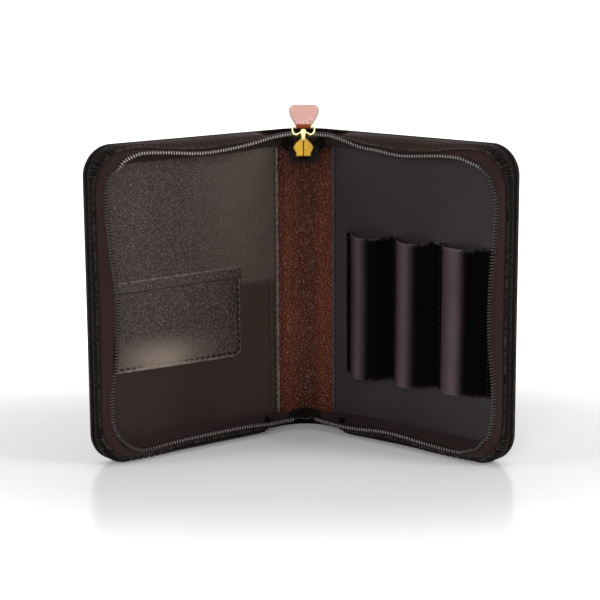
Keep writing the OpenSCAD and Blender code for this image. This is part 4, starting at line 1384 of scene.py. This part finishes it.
class PENCASE_OT_stage(Operator):
    """Pale floor, soft studio light and the camera"""

    bl_idname = "pencase.stage"
    bl_label = "Stage"

    def execute(self, context):
        scene, stage = context.scene, context.scene.pen_case_stage
        build_floor(stage)
        build_light(scene, stage)
        build_camera(scene, stage)
        return {"FINISHED"}


# ---------- stage ----------

# the floor's half width, its near and far ends, how far it lies below the case, and half the length
# and width of the oval, all in metres
FLOOR_HALF, FLOOR_NEAR, FLOOR_FAR, FLOOR_DROP = 4, -0.27, 12.0, 0.0002
OVAL_X, OVAL_Y = 0.15, 0.085
# the camera's place in millimetres, and how far it looks down, turns and rolls
CAMERA_AT = (25.0, -929.5, 271.9)
CAMERA_DOWN, CAMERA_TURN, CAMERA_ROLL = (math.radians(v) for v in (11.73, -1.64, -0.35))
WHITE = (1.0, 1.0, 1.0, 1.0)


def build_floor(stage):
    """A wide white floor, a little glossy. Beyond an oval round the case it glows to the camera and to
    reflections, so it is plain white there; inside the oval it glows faintly, which lightens the case's
    shadow: the oval is (x / OVAL_X)^2 + (y / OVAL_Y)^2 = 1."""
    across = np.linspace(-FLOOR_HALF, FLOOR_HALF, stage.parts + 1)[None, :]
    away = np.linspace(FLOOR_NEAR, FLOOR_FAR, stage.parts + 1)[:, None]
    flat = np.stack(np.broadcast_arrays(across, away, -FLOOR_DROP), -1)
    floor = new_mesh("floor", *grid(flat, (0, 0, 1))[:2])
    material, tree, shader = new_material("glazed_floor")
    at = object_at(tree)
    oval = add(tree, "Mapping", Vector=at, Scale=(1 / OVAL_X, 1 / OVAL_Y, 0.0)).outputs[0]
    reach = add(tree, "VectorMath", {"operation": "LENGTH"}, Vector=oval).outputs["Value"]
    glow = ramp(tree, reach, 1.0, 3.6, "SMOOTHSTEP", To_Min=0.08)
    feed(tree, shader, Base_Color=rgb(stage.floor), Specular_IOR_Level=0.45, Emission_Color=WHITE,
         Roughness=plus(tree, 0.17, times(tree, noise(tree, at, 3.0, 2.0), 0.06)),
         Emission_Strength=times(tree, glow, seen_ray(tree)))
    floor.data.materials.append(material)


def seen_ray(tree):
    """1 for rays from the camera, from reflections and through glass."""
    path = add(tree, "LightPath").outputs
    mirrored = sums(tree, "MAXIMUM", path["Is Glossy Ray"], path["Is Transmission Ray"])
    return sums(tree, "MAXIMUM", path["Is Camera Ray"], mirrored)


def soft_light(name, at, target, size, power):
    """An area light, size wide and tall, that faces a point."""
    lamp = bpy.data.lights.new(name, "AREA")
    lamp.shape, lamp.energy = "RECTANGLE", power
    lamp.size, lamp.size_y = size
    obj = bpy.data.objects.new(name, lamp)
    bpy.context.scene.collection.objects.link(obj)
    turn = (Vector(target) - Vector(at)).to_track_quat("-Z", "Y")
    obj.matrix_world = Matrix.Translation(at) @ turn.to_matrix().to_4x4()


def build_light(scene, stage):
    """Four soft lights: overhead, over the camera, and a larger one on each side. The sky lights the
    case dimly, and is plain white to the camera and to reflections."""
    world = bpy.data.worlds.new("studio")
    scene.world = world
    world.use_nodes = True
    tree = world.node_tree
    tree.nodes.clear()
    strength = sums(tree, "MAXIMUM", stage.sky, seen_ray(tree))
    add(tree, "OutputWorld", i0=add(tree, "Background", Color=WHITE, Strength=strength).outputs[0])
    middle = (0, 0, 0.08)
    soft_light("top_light", (0.1, 0.1, 1.3), (0, 0, 0), (1.4, 1.4), stage.top)
    soft_light("front_light", (-0.2, -1.6, 0.6), middle, (0.7, 0.5), stage.front)
    soft_light("key_light", (1.2, -0.4, 0.5), middle, (0.45, 0.9), stage.key)
    soft_light("fill_light", (-1.2, -0.4, 0.5), middle, (0.45, 0.9), stage.fill)


def build_camera(scene, stage):
    """Camera a little above the case and almost square to its spine."""
    data = bpy.data.cameras.new("camera")
    data.lens, data.sensor_width, data.sensor_fit = stage.lens, 36.0, "HORIZONTAL"
    data.clip_start, data.clip_end = 0.05, 50.0
    camera = bpy.data.objects.new("camera", data)
    scene.collection.objects.link(camera)
    flat = math.cos(CAMERA_DOWN)
    ahead = np.array([math.sin(CAMERA_TURN) * flat, math.cos(CAMERA_TURN) * flat, -math.sin(CAMERA_DOWN)])
    right = np.array([math.cos(CAMERA_TURN), -math.sin(CAMERA_TURN), 0.0])
    up = np.cross(right, ahead)
    matrix = np.eye(4)
    matrix[:3, 0] = right * math.cos(CAMERA_ROLL) + up * math.sin(CAMERA_ROLL)
    matrix[:3, 1] = -right * math.sin(CAMERA_ROLL) + up * math.cos(CAMERA_ROLL)
    matrix[:3, 2] = -ahead
    matrix[:3, 3] = np.array(CAMERA_AT) * MM
    camera.matrix_world = Matrix(matrix.tolist())
    scene.camera = camera
    scene.view_settings.view_transform = "Standard"


class PENCASE_PT_panel(Panel):
    """Lists the case's pieces, sizes and colours"""

    bl_label = "Pen case"
    bl_idname = "PENCASE_PT_panel"
    bl_space_type = "VIEW_3D"
    bl_region_type = "UI"
    bl_category = "Pen case"

    def draw(self, context):
        for group_name in ("pen_case_sizes", "pen_case_colours", "pen_case_stage"):
            settings = getattr(context.scene, group_name)
            for key in settings.bl_rna.properties.keys():
                if key not in ("rna_type", "name"):
                    self.layout.prop(settings, key)
        for operator in OPERATORS:
            self.layout.operator(operator.bl_idname)


OPERATORS = (PENCASE_OT_covers, PENCASE_OT_linings, PENCASE_OT_rim, PENCASE_OT_pocket, PENCASE_OT_loops,
             PENCASE_OT_pull, PENCASE_OT_stage)
CLASSES = (PenCaseSizes, PenCaseColours, StageSettings, *OPERATORS, PENCASE_PT_panel)


def register():
    """Adds the classes and the settings to Blender."""
    for kind in CLASSES:
        bpy.utils.register_class(kind)
    bpy.types.Scene.pen_case_sizes = PointerProperty(type=PenCaseSizes)
    bpy.types.Scene.pen_case_colours = PointerProperty(type=PenCaseColours)
    bpy.types.Scene.pen_case_stage = PointerProperty(type=StageSettings)


def unregister():
    """Takes the classes and the settings away again."""
    for name in ("pen_case_sizes", "pen_case_colours", "pen_case_stage"):
        delattr(bpy.types.Scene, name)
    for kind in reversed(CLASSES):
        bpy.utils.unregister_class(kind)


def main():
    """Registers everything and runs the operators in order."""
    register()
    bpy.ops.pencase.covers()
    bpy.ops.pencase.linings()
    bpy.ops.pencase.rim()
    bpy.ops.pencase.pocket()
    bpy.ops.pencase.loops()
    bpy.ops.pencase.pull()
    bpy.ops.pencase.stage()


if __name__ == "__main__":
    main()
